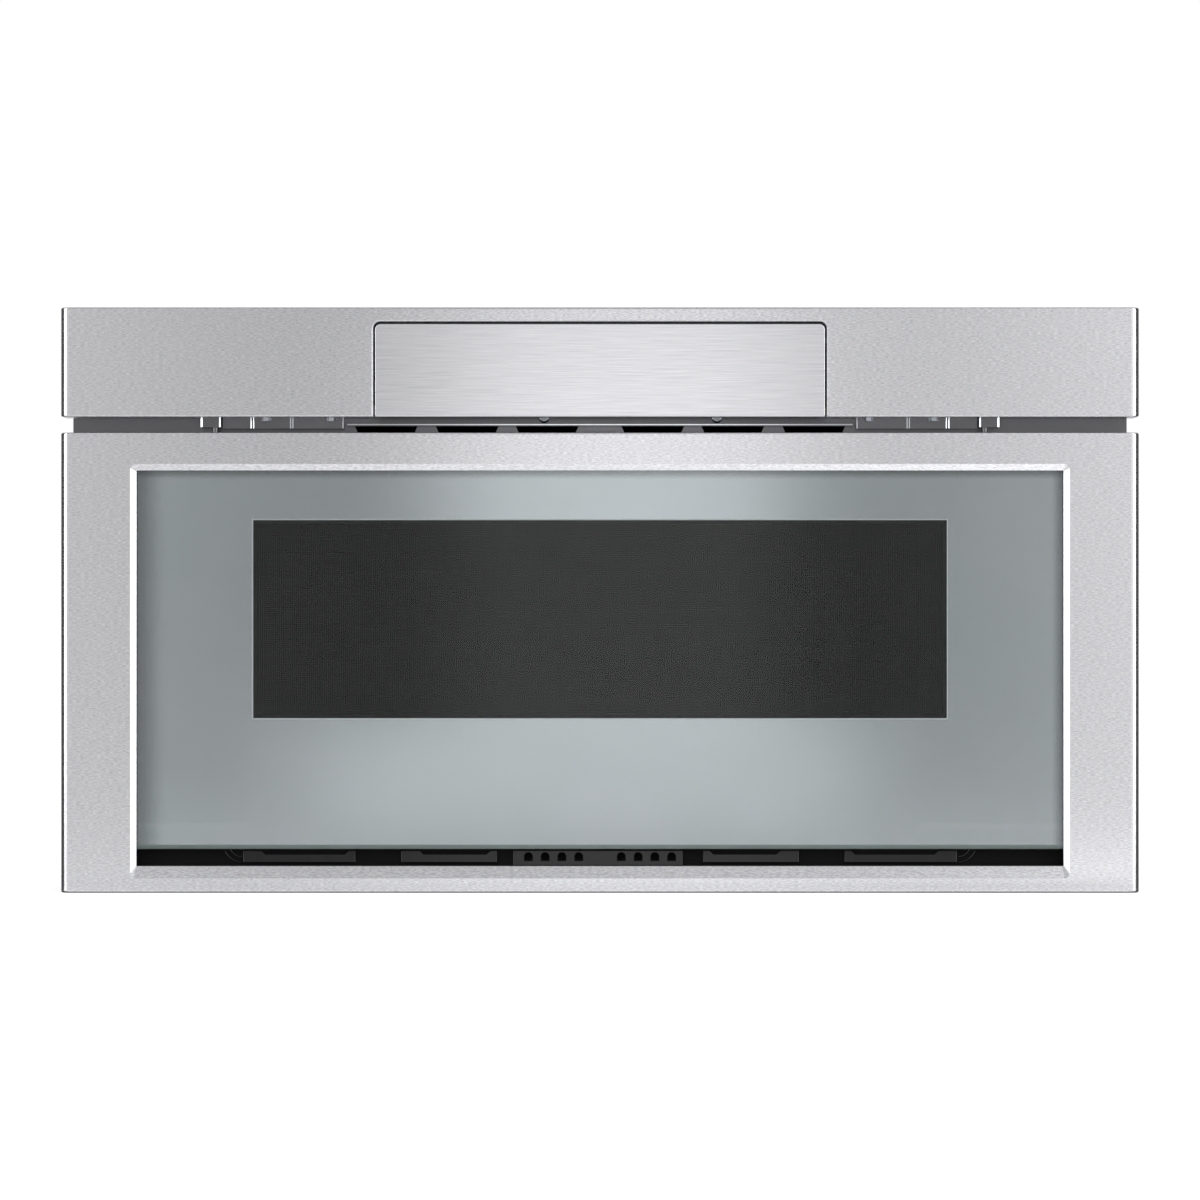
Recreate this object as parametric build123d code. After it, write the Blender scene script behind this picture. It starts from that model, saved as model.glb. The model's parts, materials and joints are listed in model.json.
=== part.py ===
from build123d import *
import os
from math import acos, cos, pi, radians, sin, sqrt, tan

# Built-in microwave drawer, class 30. Millimetres, +Z up. The front faces -Y and X runs
# left to right as seen from the front. The origin is the middle of the base pan's underside.

# ---- front elevation ----
FRONT_W = 758.8
DOOR_H = 323.6
GAP_H = 11.0
CONSOLE_H = 77.0
DOOR_DROP = 8.6
EDGE_R = 6.0
ROLL_R = 1.3
HEM_R = 0.6
RIM_WIDTH = 1.0
RIM_DEPTH = 0.5
SKIN = 1.2

# ---- depth ----
FRONT_Y = -310.0
PLATE_Y = -265.0
REAR_Y = 265.0
DOOR_BACK_Y = -268.7
PLATE_T = 1.2

# ---- chassis box ----
BOX_HALF = 357.0
BOX_H = 385.0
SHEET = 0.8
FLANGE_HALF = 374.0
FLANGE_BOTTOM = 1.5
FLANGE_TOP = 397.0

# ---- door window ----
BEVEL_HALF = 330.4
BEVEL_BOTTOM = 1.4
BEVEL_TOP = 292.9
WINDOW_HALF = 326.3
WINDOW_BOTTOM = 9.9
WINDOW_TOP = 288.4
BEVEL_DEPTH = 3.0
BEVEL_R = 4.0
RECESS = 6.0
GLASS_T = 4.0
GLASS_HALF = 331.0
GLASS_BOTTOM = 21.8
GLASS_TOP = 292.0
SIGHT_HALF = 244.4
SIGHT_BOTTOM = 113.9
SIGHT_TOP = 253.5
SCREEN_HALF = 250.0
SCREEN_MARGIN = 5.6
SCREEN_T = 0.6
INNER_GLASS_T = 3.0

# ---- cavity and tub ----
CAVITY_HALF = 250.0
CAVITY_BOTTOM = 85.0
CAVITY_TOP = 290.0
CAVITY_REAR = 168.0
CAVITY_WALL = 1.0
TUB_HALF = 246.0
TUB_BOTTOM = 89.0
TUB_TOP = 275.0
TUB_REAR = 161.0
TUB_WALL = 1.0
TUB_FLANGE = 12.0
TUB_R = 12.0
TUB_FLOOR_R = 8.0
TRAY_T = 5.0

# ---- control flap, measured from its hinge line ----
HINGE_Y = -298.0
HINGE_Z = 332.5
FLAP_HALF = 158.2
FLAP_TOP = 391.4
FLAP_SHEET = 1.0
CUTOUT_HALF = 159.65
CUTOUT_TOP = 393.2
WEDGE_FRONT = -11.0
WEDGE_BACK = 29.0
WEDGE_FRONT_TOP = 58.4
WEDGE_BACK_TOP = 48.0
TOUCH_T = 2.05
FLAP_SHAFT_R = 3.0
RUNNING_FIT = 0.08

# ---- flap gears ----
FLAP_MODULE = 0.8
SECTOR_TEETH = 40
FLAP_PINION_TEETH = 10
FLAP_MESH_ANGLE = 60.0
FLAP_BACKLASH = 0.2

# ---- drawer drive ----
RACK_MODULE = 1.5
PINION_TEETH = 16
RACK_PITCH_X = 5.5
PINION_Y = -247.0
RACK_Z0 = 40.0
RACK_Z1 = 50.0
RACK_REAR = 160.0
RACK_BACKLASH = 0.3
PRESSURE_ANGLE = 20.0

# ---- telescopic slides, right side, about their centre height ----
RAIL_Z = 60.0
RAIL_FRONT = -262.0
RAIL_REAR = 168.0
OUTER_HALF = 23.0
MIDDLE_HALF = 16.8
INNER_HALF = 10.6
RAIL_SHEET = 1.4
RAIL_PLAY = 1.0
BALL_R = 2.2
CAGE_FRONT = -131.0
CAGE_LENGTH = 200.0
BALLS_PER_ROW = 6

# ---- fixing holes in the side flanges ----
FIX_X = 366.0
FIX_LOW_Z = 45.0
FIX_HIGH_Z = 285.0
FIX_R = 2.5

# ---- fan and stirrer ----
FAN_X = 150.0
FAN_Z = 190.0
FAN_R = 58.0
FAN_Y0 = 241.0
FAN_Y1 = 257.0
STIRRER_Z = 284.0

# ---- mains inlet ----
GLAND_X = -290.0
GLAND_Z = 60.0
GLAND_BODY_R = 9.0

# ---- air vents behind the gap ----
VENT_CENTRES = (37.5, 94.3, 151.8)
VENT_TOP = 320.6
VENT_BOTTOM = 306.0
VENT_HALF_TOP = 22.3
VENT_SLOPE = 24.0
LIP_Z = 320.9

# ---- interlock hooks ----
HOOK_X = 300.0
HOOK_Z = 150.0
HOOK_HALF_T = 1.2

# ---- choke channel round the cavity mouth ----
CHOKE_IN = 260.0
CHOKE_W = 10.0
CHOKE_LOW = 85.5
CHOKE_HIGH = 290.0
CHOKE_DEPTH = 16.0

# ---- values that follow ----
HALF_W = FRONT_W / 2
DOOR_BOTTOM = -DOOR_DROP
DOOR_TOP = DOOR_H - DOOR_DROP
CONSOLE_Z = DOOR_TOP + GAP_H
FRONT_TOP = CONSOLE_Z + CONSOLE_H
PLATE_FRONT = PLATE_Y - PLATE_T
GLASS_Y = FRONT_Y + RECESS
MASK_Y = GLASS_Y + GLASS_T + 0.4
MASK_T = 1.6
SCREEN_Y = MASK_Y + MASK_T + 0.2
INNER_GLASS_Y = SCREEN_Y + SCREEN_T + 0.3
PINION_R = RACK_MODULE * PINION_TEETH / 2
PINION_X = RACK_PITCH_X + PINION_R
RACK_PITCH = pi * RACK_MODULE
SECTOR_R = FLAP_MODULE * SECTOR_TEETH / 2
FLAP_PINION_R = FLAP_MODULE * FLAP_PINION_TEETH / 2
FLAP_CENTRES = SECTOR_R + FLAP_PINION_R
MOTOR_Y = HINGE_Y + FLAP_CENTRES * cos(radians(FLAP_MESH_ANGLE))
MOTOR_Z = HINGE_Z + FLAP_CENTRES * sin(radians(FLAP_MESH_ANGLE))


# ---- shapes used by many pieces ----
def block(x0, x1, y0, y1, z0, z1):
    """A box between two corners."""
    return Pos((x0 + x1) / 2, (y0 + y1) / 2, (z0 + z1) / 2) * Box(x1 - x0, y1 - y0, z1 - z0)


def rod_x(x0, x1, y, z, r):
    """A round bar along X."""
    return Pos((x0 + x1) / 2, y, z) * Rot(0, 90, 0) * Cylinder(r, x1 - x0)


def rod_y(x, y0, y1, z, r):
    """A round bar along Y."""
    return Pos(x, (y0 + y1) / 2, z) * Rot(90, 0, 0) * Cylinder(r, y1 - y0)


def rod_z(x, y, z0, z1, r):
    """A round bar along Z."""
    return Pos(x, y, (z0 + z1) / 2) * Cylinder(r, z1 - z0)


def ring(half_out, z0_out, z1_out, half_in, z0_in, z1_in, y0, y1):
    """A rectangular frame that faces the front."""
    outside = block(-half_out, half_out, y0, y1, z0_out, z1_out)
    return outside - block(-half_in, half_in, y0 - 1, y1 + 1, z0_in, z1_in)


def side_profile(points, x0, x1):
    """A prism along X whose outline is given as (y, z) points."""
    face = Plane.YZ * Polygon(*points, align=None)
    return Pos(x0, 0, 0) * extrude(face, amount=x1 - x0, dir=(1, 0, 0))


def front_profile(points, y0, y1):
    """A prism along Y whose outline is given as (x, z) points."""
    face = Plane.XZ * Polygon(*points, align=None)
    return Pos(0, y0, 0) * extrude(face, amount=y1 - y0, dir=(0, 1, 0))


def both_sides(shape):
    """The same piece on the right and, mirrored, on the left."""
    return Compound([shape, mirror(shape, Plane.YZ)])


def group(pieces):
    """Separate pieces kept in one node."""
    return Compound(pieces)


def rounded_front(x_half, y0, y1, z0, z1, radius):
    """A box whose two upright front edges are rounded."""
    body = block(-x_half, x_half, y0, y1, z0, z1)
    upright = body.edges().filter_by(Axis.Z)
    return fillet(upright.sort_by(Axis.Y)[0:2], radius)


def folded_front(x_half, y0, y1, z0, z1, radius):
    """The same box with its top and bottom folds rolled over as well."""
    body = rounded_front(x_half, y0, y1, z0, z1, radius)
    front = body.faces().sort_by(Axis.Y)[0]
    return fillet(front.edges().filter_by(Axis.X), ROLL_R)


def involute(angle):
    return tan(angle) - angle


def gear(teeth, module, backlash, thickness):
    """A spur gear about Z with a tooth centred on +X, standing on z = 0."""
    pressure = radians(PRESSURE_ANGLE)
    pitch_r = module * teeth / 2
    base_r = pitch_r * cos(pressure)
    tip_r = pitch_r + module
    root_r = pitch_r - 1.25 * module
    low_r = max(base_r, root_r)
    half_tooth = pi / (2 * teeth) - backlash / (4 * pitch_r) + involute(pressure)
    flank = []
    for step in range(5):
        r = low_r + (tip_r - low_r) * step / 4
        flank.append((r, half_tooth - involute(acos(min(1.0, base_r / r)))))
    rising = [(root_r, flank[0][1] + 0.02)] + flank
    points = []
    for tooth in range(teeth):
        middle = 2 * pi * tooth / teeth
        for r, half in rising:
            points.append((r * cos(middle - half), r * sin(middle - half)))
        for r, half in reversed(rising):
            points.append((r * cos(middle + half), r * sin(middle + half)))
    return extrude(Polygon(*points, align=None), amount=thickness)


# ---- chassis panels ----
def fixing_holes():
    holes = []
    for z in (FIX_LOW_Z, FIX_HIGH_Z):
        for side in (-1, 1):
            holes.append(rod_y(side * FIX_X, PLATE_FRONT - 1, PLATE_Y + 1, z, FIX_R))
    return holes


def panel_screw(x, y, z, direction):
    """A pan-head screw with its head outside the panel that faces direction."""
    head = Pos(0, 0, 0.9) * Cylinder(3.6, 1.8)
    head = fillet(head.edges().group_by(Axis.Z)[-1], 1.2)
    slot = Pos(0, 0, 1.6) * (Box(4.2, 0.9, 1.0) + Box(0.9, 4.2, 1.0))
    shank = Pos(0, 0, -3.5) * Cylinder(1.7, 7.0)
    return Plane(origin=(x, y, z), z_dir=direction) * (head - slot + shank)


def panel_screws():
    screws = []
    for y in (-240.0, 240.0):
        for z in (30.0, 195.0, 360.0):
            screws.append(panel_screw(BOX_HALF, y, z, (1, 0, 0)))
            screws.append(panel_screw(-BOX_HALF, y, z, (-1, 0, 0)))
    for x in (-330.0, -110.0, 110.0, 330.0):
        for z in (12.0, 373.0):
            screws.append(panel_screw(x, REAR_Y, z, (0, 1, 0)))
        screws.append(panel_screw(x, 252.0, BOX_H, (0, 0, 1)))
        screws.append(panel_screw(x, -252.0, BOX_H, (0, 0, 1)))
    return screws


def gap_screws():
    """Hex screws under the console and two pan heads on the plate behind the gap."""
    screws = []
    for x in (189.7, 235.9):
        for side in (-1, 1):
            hexagon = Pos(side * x, -288.5, CONSOLE_Z - 2.4) * extrude(
                RegularPolygon(3.4, 6), amount=2.4)
            screws.append(hexagon + rod_z(side * x, -288.5, CONSOLE_Z, CONSOLE_Z + 6.0, 1.6))
    for x in (-39.7, 82.9):
        head = rod_y(x, PLATE_FRONT - 2.4, PLATE_FRONT, 326.4, 3.8)
        head = fillet(head.edges().group_by(Axis.Y)[0], 1.8)
        screws.append(head + rod_y(x, PLATE_FRONT, PLATE_Y + 4.0, 326.4, 1.6))
    return screws


def chassis_screws():
    return group(panel_screws() + gap_screws())


def bead(length, width=14.0, height=1.2):
    """A pressed stiffening rib along X that stands on z = 0."""
    rib = extrude(SlotOverall(length, width), amount=height)
    return fillet(rib.edges().group_by(Axis.Z)[-1], 0.8)


def base_pan():
    pan = block(-BOX_HALF + SHEET, BOX_HALF - SHEET, PLATE_Y, REAR_Y - SHEET, 0, SHEET)
    vents = []
    for row in range(5):
        for column in range(6):
            x = -345.0 + 14.0 * column
            vents.append(block(x, x + 6.0, 60 + 16.0 * row, 72 + 16.0 * row, -1, 2))
    return pan - vents


def side_panel(side):
    wall = block(BOX_HALF - SHEET, BOX_HALF, PLATE_Y, REAR_Y, 0, BOX_H - SHEET)
    louvres = []
    for row in range(6):
        z = 235.0 + 14.0 * row
        louvres.append(block(BOX_HALF - 3, BOX_HALF + 1, -60, 60, z, z + 5))
    outward = Plane(origin=(BOX_HALF, 0, 0), x_dir=(0, 1, 0), z_dir=(1, 0, 0))
    for z in (70.0, 135.0, 200.0, 345.0):
        wall = wall + outward * Pos(0, z, 0) * bead(420.0)
    if side < 0:
        wall = mirror(wall, Plane.YZ)
        louvres = [mirror(slot, Plane.YZ) for slot in louvres]
    return wall - louvres - panel_screws()


def left_side_panel():
    return side_panel(-1)


def right_side_panel():
    return side_panel(1)


def top_cover():
    sheet = block(-BOX_HALF, BOX_HALF, PLATE_Y, REAR_Y, BOX_H - SHEET, BOX_H)
    vents = []
    for row in range(2):
        for column in range(20):
            x = -322.0 + 33.0 * column
            vents.append(block(x, x + 20, 190 + 20 * row, 196 + 20 * row, BOX_H - 3, BOX_H + 1))
    for y in (-180.0, -90.0, 0.0, 90.0):
        sheet = sheet + Pos(0, y, BOX_H) * bead(620.0)
    return sheet - vents - panel_screws()


def back_panel():
    wall_x = BOX_HALF - SHEET
    wall = block(-wall_x, wall_x, REAR_Y - SHEET, REAR_Y, 0, BOX_H - SHEET)
    cuts = []
    for row in range(11):
        z = FAN_Z - 50.0 + 10.0 * row
        reach = sqrt(56.0 ** 2 - (z - FAN_Z) ** 2)
        cuts.append(block(FAN_X - reach, FAN_X + reach, REAR_Y - 3, REAR_Y + 1, z - 2.5, z + 2.5))
    cuts.append(rod_y(GLAND_X, REAR_Y - 3, REAR_Y + 1, GLAND_Z, GLAND_BODY_R))
    rib = block(FAN_X - 3, FAN_X + 3, REAR_Y - SHEET, REAR_Y, FAN_Z - 60, FAN_Z + 60)
    return wall - cuts + rib - panel_screws()


def cord_gland():
    """The nylon bushing that a mains lead would pass through; no lead is fitted."""
    body = rod_y(GLAND_X, REAR_Y - 12, REAR_Y + 2, GLAND_Z, GLAND_BODY_R)
    flange = rod_y(GLAND_X, REAR_Y, REAR_Y + 6, GLAND_Z, 13.0)
    bore = rod_y(GLAND_X, REAR_Y - 13, REAR_Y + 7, GLAND_Z, 4.5)
    return body + flange - bore


def vent_openings():
    lost = (VENT_TOP - VENT_BOTTOM) * tan(radians(VENT_SLOPE))
    low = VENT_HALF_TOP - lost
    openings = []
    for centre in VENT_CENTRES:
        for side in (-1, 1):
            x = side * centre
            outline = [(x - VENT_HALF_TOP, VENT_TOP), (x - low, VENT_BOTTOM)]
            outline += [(x + low, VENT_BOTTOM), (x + VENT_HALF_TOP, VENT_TOP)]
            openings.append(front_profile(outline, PLATE_FRONT - 1, PLATE_Y + 1))
    return openings


def front_plate():
    """The mounting flange: cavity mouth, slide slots, rack slot, hook slots and vents."""
    y0 = PLATE_FRONT - 1
    y1 = PLATE_Y + 1
    plate = block(-FLANGE_HALF, FLANGE_HALF, PLATE_FRONT, PLATE_Y, FLANGE_BOTTOM, FLANGE_TOP)
    mouth = CAVITY_HALF - CAVITY_WALL
    low = CAVITY_BOTTOM + CAVITY_WALL
    cuts = [block(-mouth, mouth, y0, y1, low, CAVITY_TOP - CAVITY_WALL)]
    for side in (-1, 1):
        x = sorted((side * 233.5, side * 252.0))
        cuts.append(block(x[0], x[1], y0, y1, RAIL_Z - 24, RAIL_Z + 24))
        x = side * HOOK_X
        cuts.append(block(x - 6, x + 6, y0, y1, HOOK_Z - 18, HOOK_Z + 18))
    cuts.append(block(-10, 10, y0, y1, RACK_Z0 - 4, RACK_Z1 + 4))
    return plate - cuts - fixing_holes() - vent_openings() - gap_screws()


def vent_duct():
    """The black intake box behind the six vents."""
    duct = block(-182, 182, PLATE_Y, PLATE_Y + 26, 300, 324.5)
    duct = duct - block(-180, 180, PLATE_Y - 1, PLATE_Y + 24, 302, 322.5)
    ribs = [block(-0.75, 0.75, PLATE_Y + 2, PLATE_Y + 25, 301, 324)]
    for x in (66.0, 123.0):
        for side in (-1, 1):
            rib_x = side * x
            ribs.append(block(rib_x - 0.75, rib_x + 0.75, PLATE_Y + 2, PLATE_Y + 25, 301, 324))
    return duct + ribs


# ---- what shows in the gap between console and door ----
def gap_brackets():
    """Three boxed steel strips with a stop block and its rubber pin, at each side."""
    pieces = []
    for x0, x1 in ((181.2, 217.6), (218.2, 245.3), (246.2, 267.5)):
        strip = block(x0, x1, -284, PLATE_FRONT, 318.4, CONSOLE_Z)
        strip = fillet(strip.edges().filter_by(Axis.Z).sort_by(Axis.Y)[0:2], 0.9)
        pieces.append(strip - block(x0 + 1, x1 - 1, -283, PLATE_FRONT - 1, 319.4, CONSOLE_Z + 1))
    stop = block(267.5, 282.6, -290, PLATE_FRONT, 319.2, CONSOLE_Z)
    stop = fillet(stop.edges().filter_by(Axis.Z).sort_by(Axis.Y)[0:2], 1.6)
    stop = stop + rod_z(272.0, -286.0, DOOR_TOP + 0.4, 319.4, 1.9)
    return both_sides(Compound(pieces) + stop)


def gap_lip():
    """The lip over the vents, with seven small holes above it and a centre tab."""
    leaf = block(-179, 179, -278, PLATE_FRONT, LIP_Z, LIP_Z + 1)
    upright = block(-179, 179, PLATE_FRONT - 1, PLATE_FRONT, LIP_Z + 1, CONSOLE_Z)
    tab = block(-11, 11, PLATE_FRONT - 1.8, PLATE_FRONT, 316.7, LIP_Z)
    holes = []
    for step in range(-3, 4):
        holes.append(rod_y(49.55 * step, PLATE_FRONT - 2, PLATE_FRONT + 1, LIP_Z + 2.2,
                            0.8))
    return leaf + upright + tab - holes - gap_screws()


# ---- console ----
def console_skin():
    """The folded steel front of the console, cut out for the flap."""
    back = PLATE_FRONT - SHEET
    skin = folded_front(HALF_W, FRONT_Y, back, CONSOLE_Z, FRONT_TOP, EDGE_R)
    inside = rounded_front(HALF_W - SKIN, FRONT_Y + SKIN, back + 1, CONSOLE_Z + SKIN,
                           FRONT_TOP - SKIN, EDGE_R - SKIN)
    lip = CUTOUT_HALF + 1.1
    outline = Plane.XZ * Pos(0, (CONSOLE_Z + CUTOUT_TOP) / 2 - 10)
    tall = CUTOUT_TOP - CONSOLE_Z + 20
    hole = extrude(outline * RectangleRounded(2 * CUTOUT_HALF, tall, 5.0), amount=20, both=True)
    edge = extrude(outline * RectangleRounded(2 * lip, tall + 2.2, 6.1), amount=20, both=True)
    returned = (edge - hole) & block(-lip, lip, -20, 20, CONSOLE_Z, FRONT_TOP)
    returned = Pos(0, FRONT_Y + 21, 0) * (returned & block(-lip, lip, -21, -16, 0, FRONT_TOP))
    hole = Pos(0, FRONT_Y, 0) * hole
    under = block(-CUTOUT_HALF - 1.1, CUTOUT_HALF + 1.1, FRONT_Y + 4, 0, 300, CONSOLE_Z + 3)
    skin = skin - inside - hole - under + returned
    rim = skin.edges().filter_by_position(Axis.Y, FRONT_Y - 0.01, FRONT_Y + 0.01)
    rim = [edge for edge in rim if abs(edge.center().X) < CUTOUT_HALF + 0.1]
    rim = [edge for edge in rim if edge.center().Z < CUTOUT_TOP + 0.1]
    front = skin.faces().filter_by_position(Axis.Y, FRONT_Y - 0.01, FRONT_Y + 0.01)[0]
    return chamfer(rim, RIM_WIDTH, RIM_DEPTH, reference=front) - gap_screws()


def console_back():
    back_x = HALF_W - SKIN
    sheet = block(-back_x, back_x, PLATE_FRONT - SHEET, PLATE_FRONT, CONSOLE_Z + SKIN,
                  FRONT_TOP - SKIN)
    return sheet - gap_screws()


BEARING_X0 = 161.2
BEARING_X1 = 163.4


def flap_brackets():
    """The upright cheeks beside the flap that carry its two bushes."""
    z0 = CONSOLE_Z + SKIN
    cheek = block(BEARING_X0, BEARING_X1, FRONT_Y + 6, PLATE_FRONT - SHEET, z0, FRONT_TOP - SKIN)
    cheek = cheek - rod_x(BEARING_X0 - 1, BEARING_X1 + 1, HINGE_Y, HINGE_Z, 4.9)
    foot = block(BEARING_X1, BEARING_X1 + 14, -288, PLATE_FRONT - SHEET, z0, z0 + 2.0)
    return both_sides(cheek + foot)


def flap_bushes():
    bush = rod_x(BEARING_X0 - 0.7, BEARING_X1, HINGE_Y, HINGE_Z, 4.9)
    bush = bush + rod_x(BEARING_X1, BEARING_X1 + 1.0, HINGE_Y, HINGE_Z, 5.2)
    bore = rod_x(BEARING_X0 - 2, BEARING_X1 + 3, HINGE_Y, HINGE_Z, FLAP_SHAFT_R + RUNNING_FIT)
    return both_sides(bush - bore)


def flap_motor():
    """The small gearmotor that tips the flap, on a plate with three standoffs."""
    x0 = 176.0
    can = rod_x(x0, x0 + 22, MOTOR_Y, MOTOR_Z, 12.0)
    nose = rod_x(x0 - 1.5, x0, MOTOR_Y, MOTOR_Z, 5.0)
    plate = block(x0 - 1.5, x0, HINGE_Y - 5, HINGE_Y + 28, HINGE_Z + 6, HINGE_Z + 37)
    pillars = []
    for y, z in ((24.0, 9.5), (-1.5, 33.0), (24.0, 33.0)):
        pillars.append(rod_x(BEARING_X1, x0 - 1.5, HINGE_Y + y, HINGE_Z + z, 2.0))
    bore = rod_x(x0 - 2, x0 + 7, MOTOR_Y, MOTOR_Z, 1.5 + RUNNING_FIT)
    clear = rod_x(x0 - 3, x0, HINGE_Y, HINGE_Z, 6.0)
    return can + nose + plate + pillars - bore - clear


def flap_pinion():
    wheel = gear(FLAP_PINION_TEETH, FLAP_MODULE, FLAP_BACKLASH, 7.0)
    tooth = 360.0 / FLAP_PINION_TEETH
    turn = (FLAP_MESH_ANGLE + 180.0 - tooth / 2) % tooth
    wheel = Plane.YZ * Rot(0, 0, turn) * wheel
    return Pos(165.5, MOTOR_Y, MOTOR_Z) * wheel + rod_x(172.5, 181.0, MOTOR_Y, MOTOR_Z, 1.5)


# ---- flap ----
def wedge_point(y, z):
    return (HINGE_Y + y, HINGE_Z + z)


def flap_skin():
    """The brushed flap face with rounded top corners and a folded bottom hem."""
    face = Plane.XZ * Pos(0, (CONSOLE_Z + FLAP_TOP) / 2) * Rectangle(
        2 * FLAP_HALF, FLAP_TOP - CONSOLE_Z)
    sheet = Pos(0, FRONT_Y + FLAP_SHEET, 0) * extrude(face, amount=FLAP_SHEET)
    upper = sheet.edges().filter_by(Axis.Y).group_by(Axis.Z)[-1]
    sheet = fillet(upper, 4.0)
    hem = block(-FLAP_HALF, FLAP_HALF, FRONT_Y, FRONT_Y + 6, CONSOLE_Z, CONSOLE_Z + FLAP_SHEET)
    skin = sheet + hem
    front = skin.faces().sort_by(Axis.Y)[0]
    skin = fillet(front.edges().sort_by(Axis.Z)[0], ROLL_R)
    front = skin.faces().sort_by(Axis.Y)[0]
    return fillet(front.edges().sort_by(Axis.Z)[1:], HEM_R)


def flap_housing():
    """The wedge that carries the touch panel on its upper face."""
    half = FLAP_HALF - 1.0
    outline = [wedge_point(WEDGE_FRONT, -5.4), wedge_point(8.0, -5.4)]
    outline += [wedge_point(20.0, 6.0), wedge_point(WEDGE_BACK, 40.0)]
    outline += [wedge_point(WEDGE_BACK, WEDGE_BACK_TOP - TOUCH_T)]
    outline += [wedge_point(WEDGE_FRONT, WEDGE_FRONT_TOP - TOUCH_T)]
    wedge = side_profile(outline, -half, half)
    room = [wedge_point(WEDGE_FRONT + 2, 9.0), wedge_point(18.4, 9.0)]
    room += [wedge_point(WEDGE_BACK - 2, 41.0), wedge_point(WEDGE_BACK - 2, 70.0)]
    room += [wedge_point(WEDGE_FRONT + 2, 70.0)]
    rooms = []
    cell = 2 * half / 4
    for index in range(4):
        x0 = -half + cell * index
        rooms.append(side_profile(room, x0 + 1.2, x0 + cell - 1.2))
    shafts = [rod_x(145, half + 1, HINGE_Y, HINGE_Z, FLAP_SHAFT_R)]
    shafts.append(rod_x(-half - 1, -145, HINGE_Y, HINGE_Z, FLAP_SHAFT_R))
    return wedge - rooms - shafts


def flap_touch_glass():
    outline = [wedge_point(WEDGE_FRONT, WEDGE_FRONT_TOP - TOUCH_T)]
    outline += [wedge_point(WEDGE_BACK, WEDGE_BACK_TOP - TOUCH_T)]
    outline += [wedge_point(WEDGE_BACK, WEDGE_BACK_TOP)]
    outline += [wedge_point(WEDGE_FRONT, WEDGE_FRONT_TOP)]
    return side_profile(outline, -FLAP_HALF + 1.0, FLAP_HALF - 1.0)


def flap_sector():
    """The two stub shafts of the flap; the right one carries the toothed sector."""
    wheel = gear(SECTOR_TEETH, FLAP_MODULE, FLAP_BACKLASH, 6.0)
    tooth = 360.0 / SECTOR_TEETH
    wheel = Rot(0, 0, FLAP_MESH_ANGLE % tooth) * wheel
    reach = 40.0
    low = radians(2.0)
    high = radians(74.0)
    middle = radians(38.0)
    corners = [(0, 0), (reach * cos(low), reach * sin(low))]
    corners += [(reach * cos(middle), reach * sin(middle))]
    corners += [(reach * cos(high), reach * sin(high))]
    slice_ = Pos(0, 0, -1) * extrude(Polygon(*corners, align=None), amount=8)
    sector = (wheel & slice_) + Pos(0, 0, 3) * Cylinder(4.8, 6)
    sector = Pos(166.0, HINGE_Y, HINGE_Z) * (Plane.YZ * sector)
    right = sector + rod_x(145, 173.5, HINGE_Y, HINGE_Z, FLAP_SHAFT_R)
    left = rod_x(-168, -145, HINGE_Y, HINGE_Z, FLAP_SHAFT_R)
    return group([right, left])


# ---- door, part of the drawer ----
def door_frame():
    """The folded stainless front with its bevelled window edge."""
    skin = folded_front(HALF_W, FRONT_Y, DOOR_BACK_Y, DOOR_BOTTOM, DOOR_TOP, EDGE_R)
    inside = rounded_front(HALF_W - SKIN, FRONT_Y + SKIN, DOOR_BACK_Y + 1, DOOR_BOTTOM + SKIN,
                           DOOR_TOP - SKIN, EDGE_R - SKIN)
    rim = block(-BEVEL_HALF - 2, BEVEL_HALF + 2, FRONT_Y + SKIN, GLASS_Y, BEVEL_BOTTOM - 2,
                BEVEL_TOP + 2)
    foot_y = FRONT_Y + BEVEL_DEPTH
    front = Plane(origin=(0, FRONT_Y, 0), x_dir=(1, 0, 0), z_dir=(0, -1, 0))
    foot = Plane(origin=(0, foot_y, 0), x_dir=(1, 0, 0), z_dir=(0, -1, 0))
    outer = Pos(0, (BEVEL_BOTTOM + BEVEL_TOP) / 2) * RectangleRounded(
        2 * BEVEL_HALF, BEVEL_TOP - BEVEL_BOTTOM, BEVEL_R)
    inner = Pos(0, (WINDOW_BOTTOM + WINDOW_TOP) / 2) * RectangleRounded(
        2 * WINDOW_HALF, WINDOW_TOP - WINDOW_BOTTOM, BEVEL_R / 4)
    bevel = loft([(front * outer).faces()[0], (foot * inner).faces()[0]])
    drop = extrude(foot * inner, amount=-(RECESS - BEVEL_DEPTH))
    return skin - inside + rim - bevel - drop


def door_glass():
    sheet = block(-GLASS_HALF, GLASS_HALF, GLASS_Y, GLASS_Y + GLASS_T, GLASS_BOTTOM, GLASS_TOP)
    return chamfer(sheet.edges().filter_by(Axis.X).group_by(Axis.Z)[0], 0.8)


RETAINER_X = 334.0


def door_screws():
    """Flat screws that hold the inner pan to the retainer and to the sill."""
    screws = []
    for x, z in ((325.0, 60.0), (325.0, 150.0), (325.0, 240.0), (60.0, 306.5), (180.0, 306.5)):
        for side in (-1, 1):
            head = rod_y(side * x, DOOR_BACK_Y, DOOR_BACK_Y + 0.8, z, 3.6)
            screws.append(head + rod_y(side * x, DOOR_BACK_Y - 9, DOOR_BACK_Y, z, 1.6))
    return screws


def door_screw_group():
    return group(door_screws())


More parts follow.
